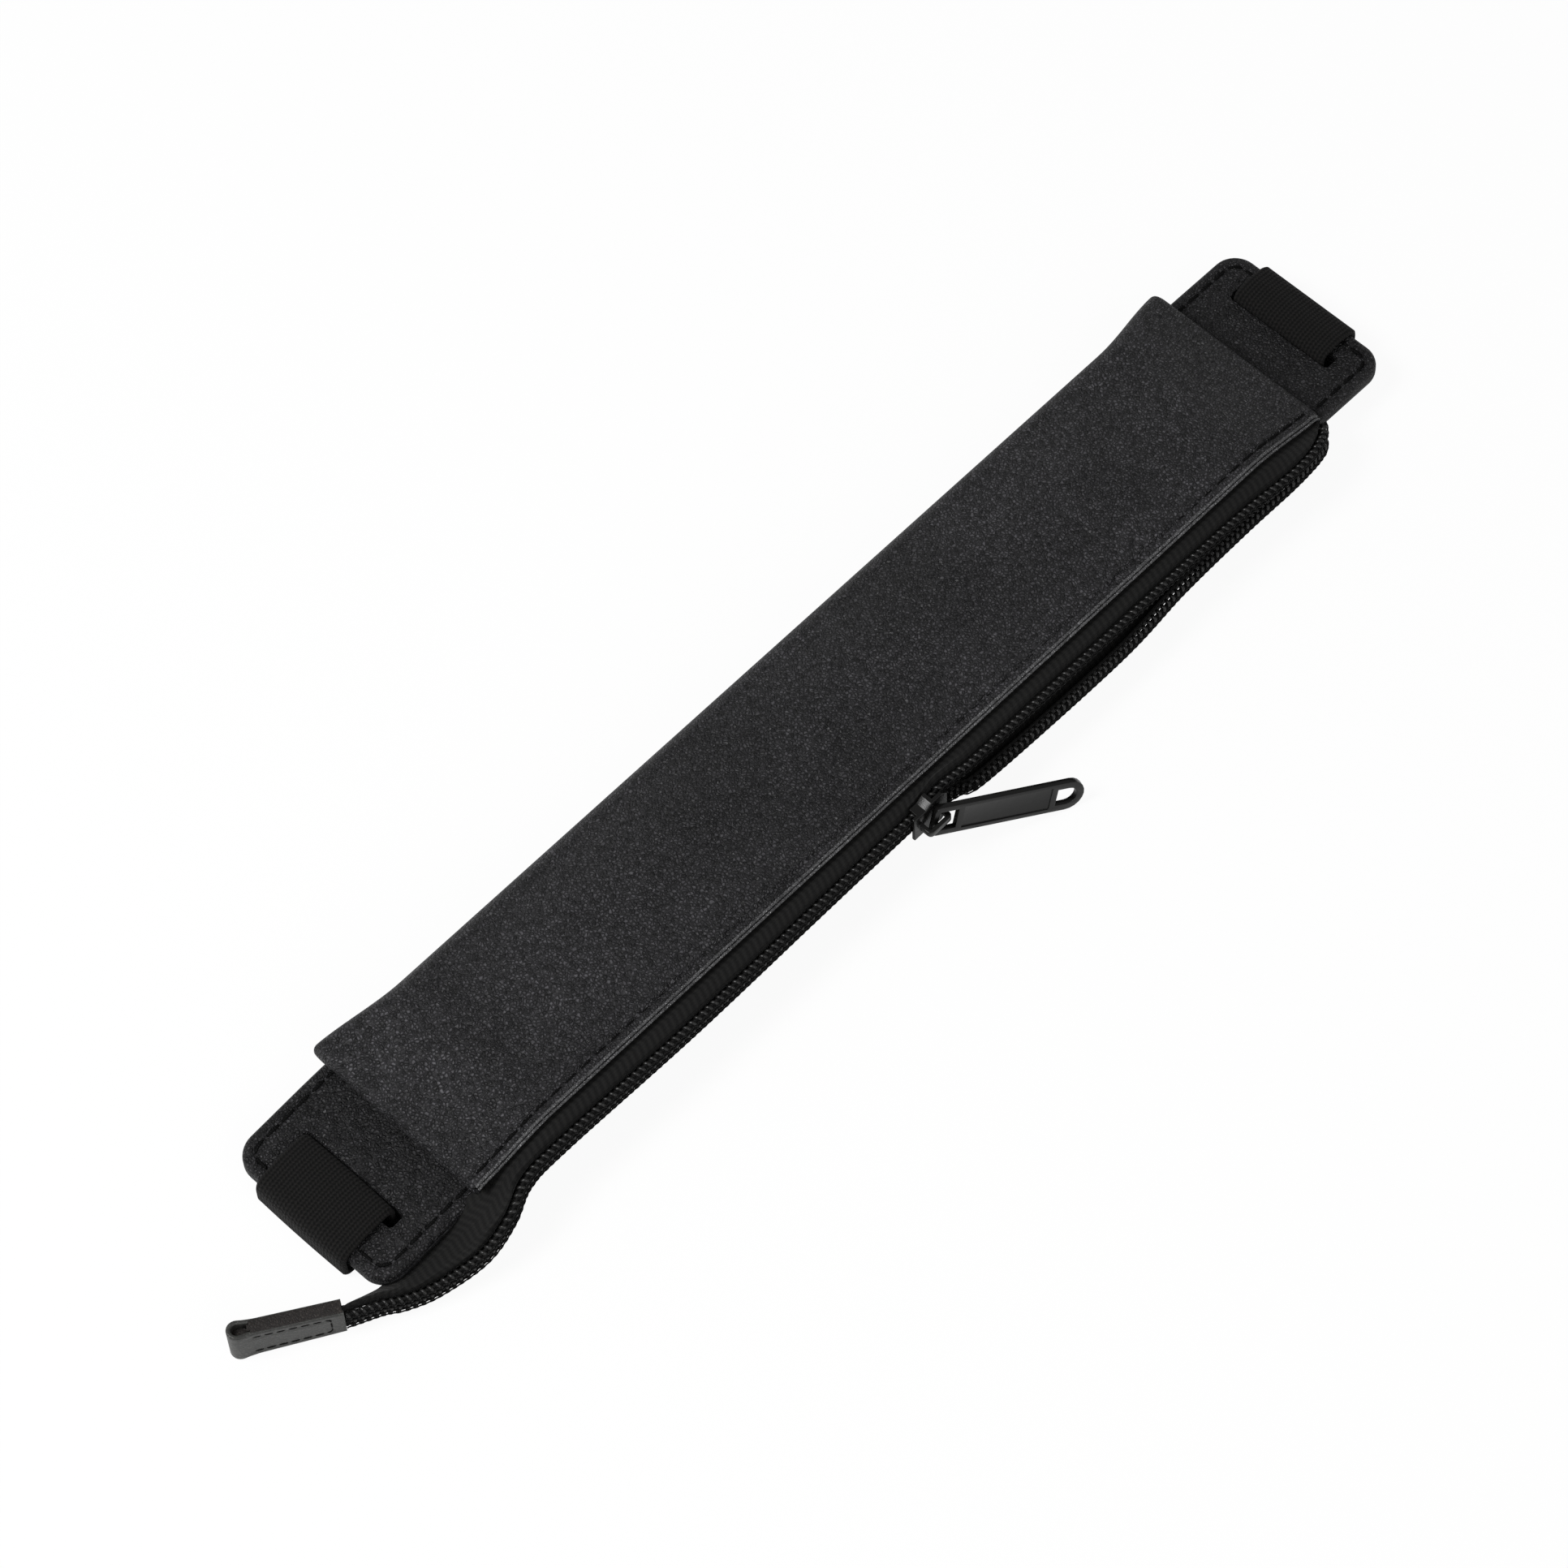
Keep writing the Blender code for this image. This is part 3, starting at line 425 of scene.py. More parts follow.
def coated(name, dark, light, rough):
    """Satin coating on metal: orange peel, with dust-fine dulling."""
    s = Shader(name, Specular_IOR_Level=0.3, Coat_Weight=0.03, Coat_Roughness=0.15)
    at = s.place()
    peel = s.noise(at, 900.0, 2.0)
    dust = s.noise(at, 5200.0, 3.0, 0.7)
    cloud = s.noise(at, 160.0, 2.0)
    s.plug(Base_Color=s.mix(s.total((dust, 0.5), (cloud, 0.5)), dark, light))
    s.plug(Roughness=s.mapped(s.total((cloud, 0.6), (dust, 0.4)), 0.25, 0.75, *rough))
    s.plug(Normal=s.bump(s.total((peel, 0.7), (dust, 0.3)), 0.03))
    return s.material


POUCH_LEATHER = leather("pouch_leather", (0.0006, 0.0006, 0.0009), (0.075, 0.073, 0.08))
PLATE_LEATHER = leather("plate_leather", (0.0005, 0.0005, 0.0007), (0.05, 0.0485, 0.0525), level=0.3)
BACK_SIDE = leather("plate_back_leather", (0.006, 0.006, 0.007), (0.04, 0.04, 0.042), grain=0.6, depth=0.08)
# The binding's leather is much lighter than the pouch's: a painted highlight on the hem's ridges.
HIGHLIT_BINDING = leather(
    "binding_leather", (0.02, 0.02, 0.021), (0.2, 0.2, 0.207),
    grain=0.35, depth=0.1, rough=(0.3, 0.42), level=0.7,
)
TAB_LEATHER = leather(
    "tab_leather", (0.022, 0.0225, 0.021), (0.07, 0.07, 0.065),
    grain=0.45, depth=0.02, rough=(0.34, 0.5),
)
TAB_EDGE = leather(
    "tab_cut_edge", (0.009, 0.0076, 0.007), (0.045, 0.038, 0.034),
    grain=0.4, depth=0.05, rough=(0.6, 0.8), level=0.3,
)
ELASTIC = elastic("ribbed_elastic")
WOVEN = woven("zip_tape_weave")
NYLON = nylon("zip_nylon")
THREAD = thread("seam_thread", 0.0015)
COIL_THREAD = thread("coil_thread", 0.008)
METAL = coated("coated_metal", (0.002, 0.002, 0.002), (0.006, 0.0058, 0.0054), (0.18, 0.3))


# Plate


def slot_centre(side):
    return side * (PLATE[0] / 2 - SLOT_FROM_END[side] + SLOT[0] / 2)


def plate_panel(name, top, bottom, node, material, groove):
    """One leather of the plate: rounded edge, both slots and a sewn groove on its outer face.

    Top is its outer face, also where that lies below; groove is pairs of an inset and a depth.
    """
    up = 1 if top > bottom else -1
    r, cut = 0.8, 0.12
    half_x, half_y, corner = PLATE[0] / 2, PLATE[1] / 2, PLATE[2]
    profile = [(cut, bottom), (0.0, bottom + up * cut)]
    for a in np.radians((0, 25, 50, 70, 90)):
        profile.append((r - r * math.cos(a), top - up * (r - r * math.sin(a))))
    profile += [(inset, top - up * depth) for inset, depth in groove]
    # Pairs of how far the slot's edge has opened and dropped
    lip = ((0.28, 0.0), (0.1, 0.08), (0.0, 0.28))
    bm = bmesh.new()

    def ring(inset, z, grow=0.0, centre=None):
        if centre is None:
            shape = rounded_box(half_x - inset, half_y - inset, corner - min(inset, corner - 0.5), 10)
        else:
            half = (SLOT[0] / 2 + grow, SLOT[1] / 2 + grow)
            shape = rounded_box(*half, SLOT[2] + grow, 4, (centre, 0))
        return [bm.verts.new((x, y, z)) for x, y in shape]

    def skin(low, high):
        for i in range(len(low)):
            j = (i + 1) % len(low)
            bm.faces.new((low[i], low[j], high[j], high[i]))

    rings = [ring(inset, z) for inset, z in profile]
    for low, high in zip(rings, rings[1:]):
        skin(low, high)
    tops, bottoms = [rings[-1]], [rings[0]]
    for side in (-1, 1):
        hole = [ring(0, top - up * drop, grow, slot_centre(side)) for grow, drop in lip]
        hole.append(ring(0, bottom, 0.0, slot_centre(side)))
        for low, high in zip(hole, hole[1:]):
            skin(low, high)
        tops.append(hole[0])
        bottoms.append(hole[-1])
    for loops in (tops, bottoms):
        edges = []
        for loop in loops:
            edges += [bm.edges.get(pair) for pair in zip(loop, loop[1:] + loop[:1])]
        bmesh.ops.triangle_fill(bm, edges=edges, use_beauty=True)
    # Cuts across both ends, so that they can bend
    for x in [side * (BEND_START + k) for side in (-1, 1) for k in np.arange(0, 25, 1.5)]:
        geometry = bm.verts[:] + bm.edges[:] + bm.faces[:]
        bmesh.ops.bisect_plane(bm, geom=geometry, plane_co=(x, 0, 0), plane_no=(1, 0, 0), dist=1e-4)
    for vert in bm.verts:
        vert.co.z -= float(bend(vert.co.x))
    bmesh.ops.scale(bm, vec=(MM, MM, MM), verts=bm.verts)
    mesh = bpy.data.meshes.new(name)
    bm.to_mesh(mesh)
    bm.free()
    place(name, mesh, material, "case", node, 35)


def walk(path, closed=False):
    """The whole length of a path and a function giving the point at a length."""
    path = np.asarray(path, float)
    if closed:
        path = np.concatenate([path, path[:1]])
    length = lengths(path)

    def at(distance):
        return np.stack([np.interp(distance, length, path[:, k]) for k in range(path.shape[1])], axis=-1)

    return length[-1], at


def stitches(build, path, pitch, share, radius, closed=False, dip=0.3, down=(0, 0, -1)):
    """Thread laid in short stitches along a path, each end diving into its hole.

    Share is how much of the pitch shows, and dip how far the ends go down.
    """
    total, at = walk(path, closed)
    count = int(total / pitch)
    pitch = total / count
    place_of = np.array([-0.5, -0.46, -0.3, 0, 0.3, 0.46, 0.5])
    drop = np.array([1.0, 0.45, 0.05, 0.0, 0.05, 0.45, 1.0])
    for i in range(count):
        points = at((i + 0.5) * pitch + place_of * pitch * share)
        build.tube(points + drop[:, None] * dip * np.array(down), radius, 6)


def plate():
    """Both leathers and the thread sewn round them on both faces."""
    groove = ((1.1, -0.04), (1.45, 0.0), (1.75, 0.16), (2.0, 0.3), (2.25, 0.16), (2.55, 0.0))
    meeting, seam, sunk = PLATE_BOTTOM + 1.4, 2.0, 0.2
    plate_panel("plate_front", PLATE_TOP, meeting, "plate_front_leather", PLATE_LEATHER, groove)
    plate_panel("plate_back", PLATE_BOTTOM, meeting, "plate_back_leather", BACK_SIDE, groove)
    sew = Build()
    total, at = walk(rounded_box(PLATE[0] / 2 - seam, PLATE[1] / 2 - seam, PLATE[2] - seam, 10), closed=True)
    outline = at(np.linspace(0, total, int(total), endpoint=False))
    for z, down in ((PLATE_TOP - sunk, -1), (PLATE_BOTTOM + sunk, 1)):
        path = [(x, y, z - float(bend(x))) for x, y in outline]
        stitches(sew, path, pitch=3.1, share=0.7, radius=0.3, closed=True, down=(0, 0, down))
    sew.object("plate_stitches", THREAD, "case", angle=60)


# Strap


def strap_section(half, thick, puff, steps=26):
    """Closed section of the elastic: flat, fuller in the middle by puff, with rolled edges."""
    roll = thick * 0.35
    across = np.linspace(-half + roll, half - roll, steps)
    bulge = puff * (1 - (across / half) ** 2)
    top = [(y, thick / 2 + b) for y, b in zip(across, bulge)]
    edge = [(y, z * 1.15) for y, z in arc((half - roll, 0), roll, 60, -60, 4)]
    low = [(y, -thick / 2) for y in across[::-1]]
    return top + edge + low + [(-y, z) for y, z in edge[::-1]]


def strap_piece(name, path, node, body, puff=0.0, half=STRAP_WIDTH / 2, shift=0.0):
    """Sweeps the elastic's section along (x, z) points, drifting sideways by shift in its first stretch."""
    total, at = walk(path)
    step = 0.4
    along = np.linspace(0, total, max(int(total / step), 2))
    points = at(along)
    tangent = np.gradient(points, axis=0)
    tangent /= np.linalg.norm(tangent, axis=1)[:, None]
    normal = np.stack([-tangent[:, 1], tangent[:, 0]], axis=1)
    if normal[len(normal) // 2, 1] < 0:
        normal = -normal
    section = strap_section(half, STRAP - 0.2, puff)
    offsets = STRAP_OFFSET + shift * smooth(along / (STRAP_WIDTH * 1.5))
    rows = [
        [(p[0] + n[0] * z, y + offset, p[1] + n[1] * z) for y, z in section]
        for p, n, offset in zip(points, normal, offsets)
    ]
    uv = spread(along, np.array([y for y, z in section]))
    piece = Build().grid(rows, uv=uv).object(name, ELASTIC, body, node, 60)


def strap():
    """The straight run, a stretch that gives on each side of it and the loop round each end of the plate."""
    low = STRAP / 2
    # Way from the plate's end, from the leather to the elastic's middle, and between run and stretch
    clear, lift, split = 0.1, 0.75, 0.03
    # Radii of the turns: under the plate, over its end and into the slot
    r, over, into = STRAP_TURN, 2.0, 1.2
    puff, half = 0.14, STRAP_WIDTH / 2 + 0.2
    strap_piece("elastic_run", [(-STRAP_RUN_HALF, low), (STRAP_RUN_HALF, low)], "strap_run", "strap")
    for name, side, shift in (("left", -1, 0.15), ("right", 1, -0.25)):
        slot_outer = abs(slot_centre(side)) + SLOT[0] / 2
        outside = PLATE[0] / 2 + low + clear
        inside = slot_outer - SLOT[0] + lift
        tail = STRAP + GAP + low
        end_top = PLATE_TOP - float(bend(side * PLATE[0] / 2)) + lift
        slot_top = PLATE_TOP - float(bend(side * slot_outer)) + lift
        give = [(side * (STRAP_RUN_HALF + split), low), (side * (outside - r), low)]
        ends = [(side * x * MM, 0, low * MM) for x in (outside - r - 1.0, STRAP_RUN_HALF)]
        strap_piece("elastic_give_" + name, give, None, ends, puff, half)
        path = arc((outside - r, low + r), r, -90, 0, 6)
        path += arc((outside - over, end_top - over), over, 0, 90, 10)
        for t in (0.2, 0.4, 0.6, 0.8):
            x = outside - over + (inside + into - outside + over) * t
            path.append((x, end_top + (slot_top - end_top) * t + 0.35 * math.sin(math.pi * t)))
        path += arc((inside + into, slot_top - into), into, 90, 180, 8)
        path += arc((inside - r, tail + r), r, 0, -90, 6)
        path += [(slot_outer - SLOT[0] - TURNED_END, tail)]
        path = [(side * x, z) for x, z in path]
        strap_piece("elastic_" + name, path, "strap_loop_" + name, "case", puff, half, shift)


# Pouch

HEM_SEAM = 1.3


def from_end(x):
    return np.maximum(POUCH_HALF - np.abs(x - POUCH_SHIFT), 0)


def side_height(x):
    return END_HEIGHT + (SIDE_HEIGHT - END_HEIGHT) * smooth(from_end(x) / SIDE_TAPER)


def squeeze(x, height):
    """Height of a point of the pouch at x, with both ends rolled down, the right one over a longer way."""
    inset, middle = float(from_end(x)), float(side_height(x)) / 2
    for r, least in ((1.1, 0.25), (7.0, 0.62) if x > 0 else (2.5, 0.8)):
        if inset < r:
            share = least + (1 - least) * math.sqrt(1 - (1 - inset / r) ** 2)
            height = middle + (height - middle) * share
    return height


def hem_profile(s):
    """Depth of the sewn groove at a distance s inside the hem, with a low swelling beside it."""
    return 0.3 * np.exp(-(((s - HEM_SEAM) / 0.26) ** 2)) - 0.09 * np.exp(-(((s - 2.3) / 0.6) ** 2))


def rounding(inset, r):
    """How far a corner of radius r draws in at an inset from the end."""
    return r - math.sqrt(r**2 - (r - inset) ** 2) if inset < r else 0.0


def pouch_row(x):
    """Closed section of the pouch's leather: back panel, fold, front panel and round the inside.

    The room inside shrinks to a slit at both end walls.
    """
    inset = float(from_end(x))
    h = float(side_height(x))
    crown = CROWN * float(smooth(inset / CROWN_TAPER))
    front = POUCH_FRONT - rounding(inset, 0.9)
    back = POUCH_BACK - DRAWN_IN * float(smooth(inset / SIDE_TAPER)) - rounding(inset, 1.2 if x > 0 else 1.0)
    closed = inset < END_WALL
    hair, turn, top_turn = 0.02, 0.3, 0.32
    middle = h / 2
    fold, mouth = back - middle, -front + turn
    if closed:
        roof, floor, inner_fold = middle + hair, middle - hair, -front + 1.2
    else:
        roof, floor, inner_fold = h - FRONT_PANEL, BACK_PANEL, fold

    def arch(distance):
        """Share of the crown at a distance from the mouth's edge."""
        share = 1 - distance / (fold + front)
        return 1 - (2 * share - 1) ** 2

    outer = [(y, 0.0) for y in np.linspace(mouth, fold, 12)]
    outer += arc((fold, middle), middle, -80, 80, 14)
    distances = np.concatenate([
        np.linspace(fold + front, 4.0, 30), (3.4, 2.9, 2.5, 2.2, 1.95),
        np.linspace(1.75, 0.85, 9), (0.7, 0.5, 0.35),
    ])
    top = []
    for s in distances:
        y = s - front
        slump = wobble(x, y, 24.0, 3.1) * 0.55 + wobble(x, y, 9.0, 8.7) * 0.15
        slump *= float(smooth(inset / 8)) * min(s / 5, 1) * min((fold + front - s) / 5, 1)
        top.append((y, h + crown * arch(s) + slump - float(hem_profile(s))))
    edge = arc((mouth, h - top_turn), top_turn, 90, 180, 4)[1:]
    edge += arc((mouth, h - FRONT_PANEL + turn), turn, 180, 270, 3)[:-1]
    crown = 0 if closed else crown
    inner = [(y, roof + crown * arch(y + front)) for y in np.linspace(-front + 0.35, inner_fold, 12)]
    inner += arc((inner_fold, (roof + floor) / 2), (roof - floor) / 2, 80, -80, 6)
    inner += [(y, floor) for y in np.linspace(inner_fold, mouth, 10)]
    if closed:
        angles = np.linspace(0.4, 2.7, 5)
        lip = [(mouth - turn * math.sin(a), floor * (1 - k / 4)) for k, a in enumerate(angles)]
    else:
        lip = arc((mouth, BACK_PANEL / 2), BACK_PANEL / 2 - hair, 100, 260, 4)
    return [(x, y, POUCH_BASE + squeeze(x, z)) for y, z in outer + top + edge + inner + lip]


def pouch():
    """The pouch's leather, its hem stitches and its binding."""
    edge = np.concatenate([(0, 0.06, 0.18, 0.36, 0.6, 0.9, 1.2, 1.55, 1.65, 2.0), np.arange(2.8, 40, 1.1)])
    middle = np.linspace(-POUCH_HALF + 40.8, POUCH_HALF - 40.8, 84)
    offsets = np.concatenate([-POUCH_HALF + edge, middle, POUCH_HALF - edge[::-1]])
    rows = [pouch_row(POUCH_SHIFT + x) for x in offsets]
    Build().grid(rows).object("pouch_leather", POUCH_LEATHER, "case", "pouch_shell")
    sew = Build()
    hem = along_hem(short=1.6, outward=-HEM_SEAM, below=0.16, count=180)
    stitches(sew, hem, pitch=3.0, share=0.72, radius=0.22)
    sew.object("hem_stitches", THREAD, "case", angle=60)
    binding()


def along_hem(short, outward, below, count):
    """Points along the hem, ending short of both ends, outward of its edge and below its top."""
    reach = POUCH_HALF - short
    return [
        (x, -POUCH_FRONT - outward, POUCH_BASE + squeeze(x, float(side_height(x)) - below))
        for x in np.linspace(POUCH_SHIFT - reach, POUCH_SHIFT + reach, count)
    ]


def binding():
    """A turned edge with two fine ridges along the hem, going down round the right end of the mouth."""
    path = along_hem(short=0.4, outward=0.3, below=0.35, count=220)
    corner, low = 1.9, POUCH_BASE + 0.5
    end = path[-1][0]
    path = [p for p in path if p[0] < end - corner]
    _, y, top = path[-1]
    foot = top - corner
    for a in np.linspace(0.15, math.pi / 2, 8):
        path.append((end - corner + corner * math.sin(a), y, foot + corner * math.cos(a)))
    path += [(end, y + 0.3 * t, foot - (foot - low) * t) for t in (0.4, 0.8, 1.0)]
    build = Build()
    for offset, radius in (((0, 0.25, 0.14), 0.27), ((0, -0.27, -0.06), 0.22)):
        build.tube(np.array(path) + offset, radius, 10)
    # The ridges' lightened leather is a painted highlight.
    build.object("hem_binding_ridges", HIGHLIT_BINDING, "case", "hem_binding", 60)


# Zip


def route(shares):
    """Points of the zip from their shares."""
    return [
        Vector((POUCH_SHIFT + x * POUCH_HALF, -out * CHAIN_OUT, height * CHAIN_Z))
        for x, out, height in shares
    ]


UPPER = route(CLOSED + UPPER_OPEN)
LOWER = route(CLOSED + LOWER_OPEN)


def zip_frame(points, u):
    """Place, direction, across and outward vectors of a zip row at u."""
    at = catmull(points, u)
    low, high = catmull(points, max(u - 0.05, 0)), catmull(points, min(u + 0.05, len(points) - 1))
    along = (high - low).normalized()
    outward = along.cross(Vector((0, 0, 1))).normalized()
    return at, along, outward.cross(along), outward


def by_length(points, start):
    """u for a travelled length along a row, and the row's whole length."""
    us = np.linspace(start, len(points) - 1, 2400)
    length = lengths(np.array([catmull(points, u) for u in us]))
    return (lambda d: float(np.interp(d, length, us))), length[-1]


def tape_row(points, u, lower):
    """Points across a tape from its sewn edge to its row of coil."""
    sign = -1 if lower else 1
    at, _, across, outward = zip_frame(points, u)
    under_coil = 0.3
    back = at - outward * TAPE / 2
    near = float(smooth((from_end(at.x) - END_WALL) / SIDE_TAPER))
    shoulder = back + across * sign * (TAPE_REACH_END + (TAPE_REACH - TAPE_REACH_END) * near)
    if lower:
        z = POUCH_BASE + BACK_PANEL / 2
        sewn, clear, drop = -GAP, 1.0, 1.0
    else:
        z = POUCH_BASE + float(side_height(at.x)) - FRONT_PANEL - GAP - TAPE / 2
        sewn, clear, drop = 1.6, 1.75, 0.0
    edge = Vector((at.x, -POUCH_FRONT + sewn, z))
    lip = Vector((at.x, max(-POUCH_FRONT - clear, shoulder.y + GAP), z - drop))
    tail = len(TAIL_EDGE) - 1
    if u < tail + 1:
        share = float(smooth(u - tail))
        rows = [Vector((0, -row[2 * lower] * CHAIN_OUT, row[2 * lower + 1] * CHAIN_Z)) for row in TAIL_EDGE]
        free = catmull(rows, min(u, tail))
        free.x = at.x
        edge = free.lerp(edge, share)
        lip = free.lerp(shoulder, 1 / 3).lerp(lip, share)
    return [edge, lip, shoulder, back + across * sign * COIL_ROOT, back + across * sign * under_coil]


def fine(corners, steps=16):
    """A row of corners rounded into an even curve."""
    per_side, passes = 8, 6
    points = [np.array(c) for c in corners]
    soft = []
    for low, high in zip(points, points[1:]):
        soft += [low + (high - low) * t for t in np.linspace(0, 1, per_side, endpoint=False)]
    soft = np.array(soft + points[-1:])
    for _ in range(passes):
        soft[1:-1] = (soft[:-2] + 2 * soft[1:-1] + soft[2:]) / 4
    length, at = walk(soft)
    return at(np.linspace(0, length, steps))


def tape(name, points, lower):
    """A woven tape with thin edges, which goes on a little past its last point, under the bar tack."""
    step, total = by_length(points, 0)
    row_step, thin_edge, uv_width = 0.7, 0.1, 6.0
    centre = [fine(tape_row(points, step(d), lower)) for d in np.linspace(0, total, int(total / row_step))]
    for _ in range(3):
        centre.append(centre[-1] + (0.35, 0.08, 0.0))
    centre = np.array(centre)
    normal = np.cross(np.gradient(centre, axis=0), np.gradient(centre, axis=1))
    normal /= np.linalg.norm(normal, axis=2)[:, :, None] + 1e-12
    half = np.full(centre.shape[1], TAPE / 2 - 0.03)
    half[0] = half[-1] = thin_edge
    top = centre + normal * half[None, :, None]
    low = centre - normal * half[None, :, None]
    ring = np.concatenate([top, low[:, ::-1]], axis=1)
    width = np.linspace(0, 1, centre.shape[1]) * uv_width
    uv = spread(np.linspace(0, total, len(centre)), np.concatenate([width, width[::-1]]))
    Build().grid(ring, uv=uv).object(name + "_cloth", WOVEN, "case", name, 60)


def coil(name, points, lower):
    """One continuous flattened filament wound in turns round cords, sewn to its tape by two threads."""
    sign = -1 if lower else 1
    step, total = by_length(points, 1)
    wire, wide, frames_per_turn = 0.2, 1.4, 16
    root, head, top, floor = COIL_ROOT - wire, -COIL_HEAD + wire, COIL_TOP - wire, GAP + wire
    # Points of one turn: across, outward and share of the pitch
    turn = [
        (1.0, floor, 0.0), (root - 0.15, floor + 0.04, 0.06), (root - 0.02, floor + 0.2, 0.12),
        (root, (floor + top) / 2, 0.22), (root - 0.04, top - 0.18, 0.32), (root - 0.2, top - 0.03, 0.38),
        (1.0, top, 0.48), (0.4, top, 0.56), (head + 0.14, top - 0.04, 0.62), (head + 0.01, top - 0.22, 0.66),
        (head, (floor + top) / 2, 0.70), (head + 0.02, floor + 0.2, 0.74), (head + 0.14, floor + 0.02, 0.78),
        (0.4, floor, 0.88),
    ]
    frames = [zip_frame(points, step(d)) for d in np.arange(0, total, PITCH / frames_per_turn)]

    def place_at(distance, across_at, height):
        nearest = int(round(distance / PITCH * frames_per_turn))
        at, along, across, outward = frames[min(max(nearest, 0), len(frames) - 1)]
        return at + across * sign * across_at + outward * height, along

    path, normals = [], []
    offset = 0.5 if lower else 0.0
    for i in range(int(total / PITCH)):
        for across_at, height, phase in turn:
            point, along = place_at((i + phase + offset) * PITCH, across_at, height)
            path.append(point)
            normals.append(along)
    build = Build()
    build.tube(path, wire, 8, flat=wide, up=normals)
    build.object(name + "_filament", NYLON, "case", name, 60)
    seam = Build()
    places = np.arange(0, total, PITCH / 4)
    # Cords side by side in the turns, then both threads on top, rising over each turn
    for across_at, radius in ((0.6, 0.36), (1.1, 0.36), (1.42, 0.27)):
        seam.tube([place_at(d, across_at, (floor + top) / 2)[0] for d in places], radius, 7)
    waves = 0.05 * np.cos(2 * math.pi * (places / PITCH - 0.4 - offset))
    for across_at in (1.25, 0.55):
        line = [place_at(d, across_at, top + wire - 0.02 + wave)[0] for d, wave in zip(places, waves)]
        seam.tube(line, 0.13, 6)
    seam.object(name + "_sewing", COIL_THREAD, "case", None, 60)


def zip_rows():
    """Both tapes with their coils, and the gusset and bar tack that join them at the pouch's right end."""
    for name, points, lower in (("upper", UPPER, False), ("lower", LOWER, True)):
        tape("zip_tape_" + name, points, lower)
        coil("zip_coil_" + name, points, lower)
    behind, half_thick, reach = Vector((0, 0.2, 0)), Vector((0, 0.12, 0)), 2.4
    # Pairs of facing points on the shoulders of both tapes, from the right end back
    facing = []
    for back in np.linspace(0, reach, 14):
        high = tape_row(UPPER, len(UPPER) - 1 - back, False)[2]
        facing.append((high, tape_row(LOWER, len(LOWER) - 1 - back, True)[2]))
    rows = []
    for share in np.linspace(0, 1, 8):
        line = [high.lerp(low, share) + behind for high, low in facing]
        rows.append([p + half_thick for p in line] + [p - half_thick for p in line[::-1]])
    Build().grid(rows).object("zip_end_gusset", WOVEN, "case", None, 60)
    high, low = route(((0.9705, 0.955, 0.905), (0.9885, 0.891, 0.59)))
    tack = [high.lerp(low, t) for t in np.linspace(0, 1, 8)]
    Build().tube(tack, radius=0.42).object("zip_end_tack", COIL_THREAD, "case", None, 60)


# Slider, pull and tab


def rounded_copy(node, body, name, notches=()):
    """The model's own metal piece with its edges rounded; notches are boxes cut out of it first."""
    width, angle = 0.16, 30
    work = bpy.data.objects.new(name + "_work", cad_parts[node].data.copy())
    bpy.context.scene.collection.objects.link(work)
    for low, high in notches:
        corners = [[(low, high)[(k >> axis) & 1][axis] * MM for axis in range(3)] for k in range(8)]
        faces = [(0, 2, 3, 1), (4, 5, 7, 6), (0, 1, 5, 4), (2, 6, 7, 3), (0, 4, 6, 2), (1, 3, 7, 5)]
        block = bpy.data.meshes.new("notch")
        block.from_pydata(corners, [], faces)
        tool = bpy.data.objects.new("notch", block)
        bpy.context.scene.collection.objects.link(tool)
        step = work.modifiers.new("cut", "BOOLEAN")
        step.object, step.operation, step.solver = tool, "DIFFERENCE", "EXACT"
        cut = bpy.data.meshes.new_from_object(work.evaluated_get(bpy.context.evaluated_depsgraph_get()))
        work.modifiers.clear()
        work.data = cut
        bpy.data.objects.remove(tool)
    bm = bmesh.new()
    bm.from_mesh(work.data)
    bpy.data.objects.remove(work)
    bmesh.ops.remove_doubles(bm, verts=bm.verts, dist=2e-6)
    bmesh.ops.dissolve_limit(bm, angle_limit=math.radians(1.5), verts=bm.verts, edges=bm.edges)
    sharp = [e for e in bm.edges if len(e.link_faces) == 2 and e.calc_face_angle(0) > math.radians(angle)]
    bmesh.ops.bevel(
        bm, geom=sharp, offset=width * MM, segments=3, profile=0.5, affect="EDGES", clamp_overlap=True
    )
    mesh = bpy.data.meshes.new(name)
    bm.to_mesh(mesh)
    bm.free()
    mesh.materials.clear()
    place(name, mesh, METAL, body, node, 40)


def hardware():
    """Slider with side flanges that stop short of its mouth, a shorter closed end and its pull."""
    face = -0.99 * CHAIN_OUT
    # Lengths taken off the flanges at the mouth and at the closed end, and off the closed end itself
    at_mouth, at_closed_end, whole = (0.3, 3.6), (-6.1, -3.0), (-6.1, -4.0)
    upper, lower = (2.0, 4.0), (-4.0, -2.0)
    notches = [
        ((start, face - 1.8, CHAIN_Z + low), (end, face - 0.2, CHAIN_Z + high))
        for start, end in (at_mouth, at_closed_end) for low, high in (upper, lower)
    ]
    notches.append(((whole[0], face - 6.0, CHAIN_Z - 5.0), (whole[1], face + 3.0, CHAIN_Z + 5.0)))
    rounded_copy("slider_body", "slider", "slider_casting", notches)
    rounded_copy("pull_tab", "pull", "pull_casting")


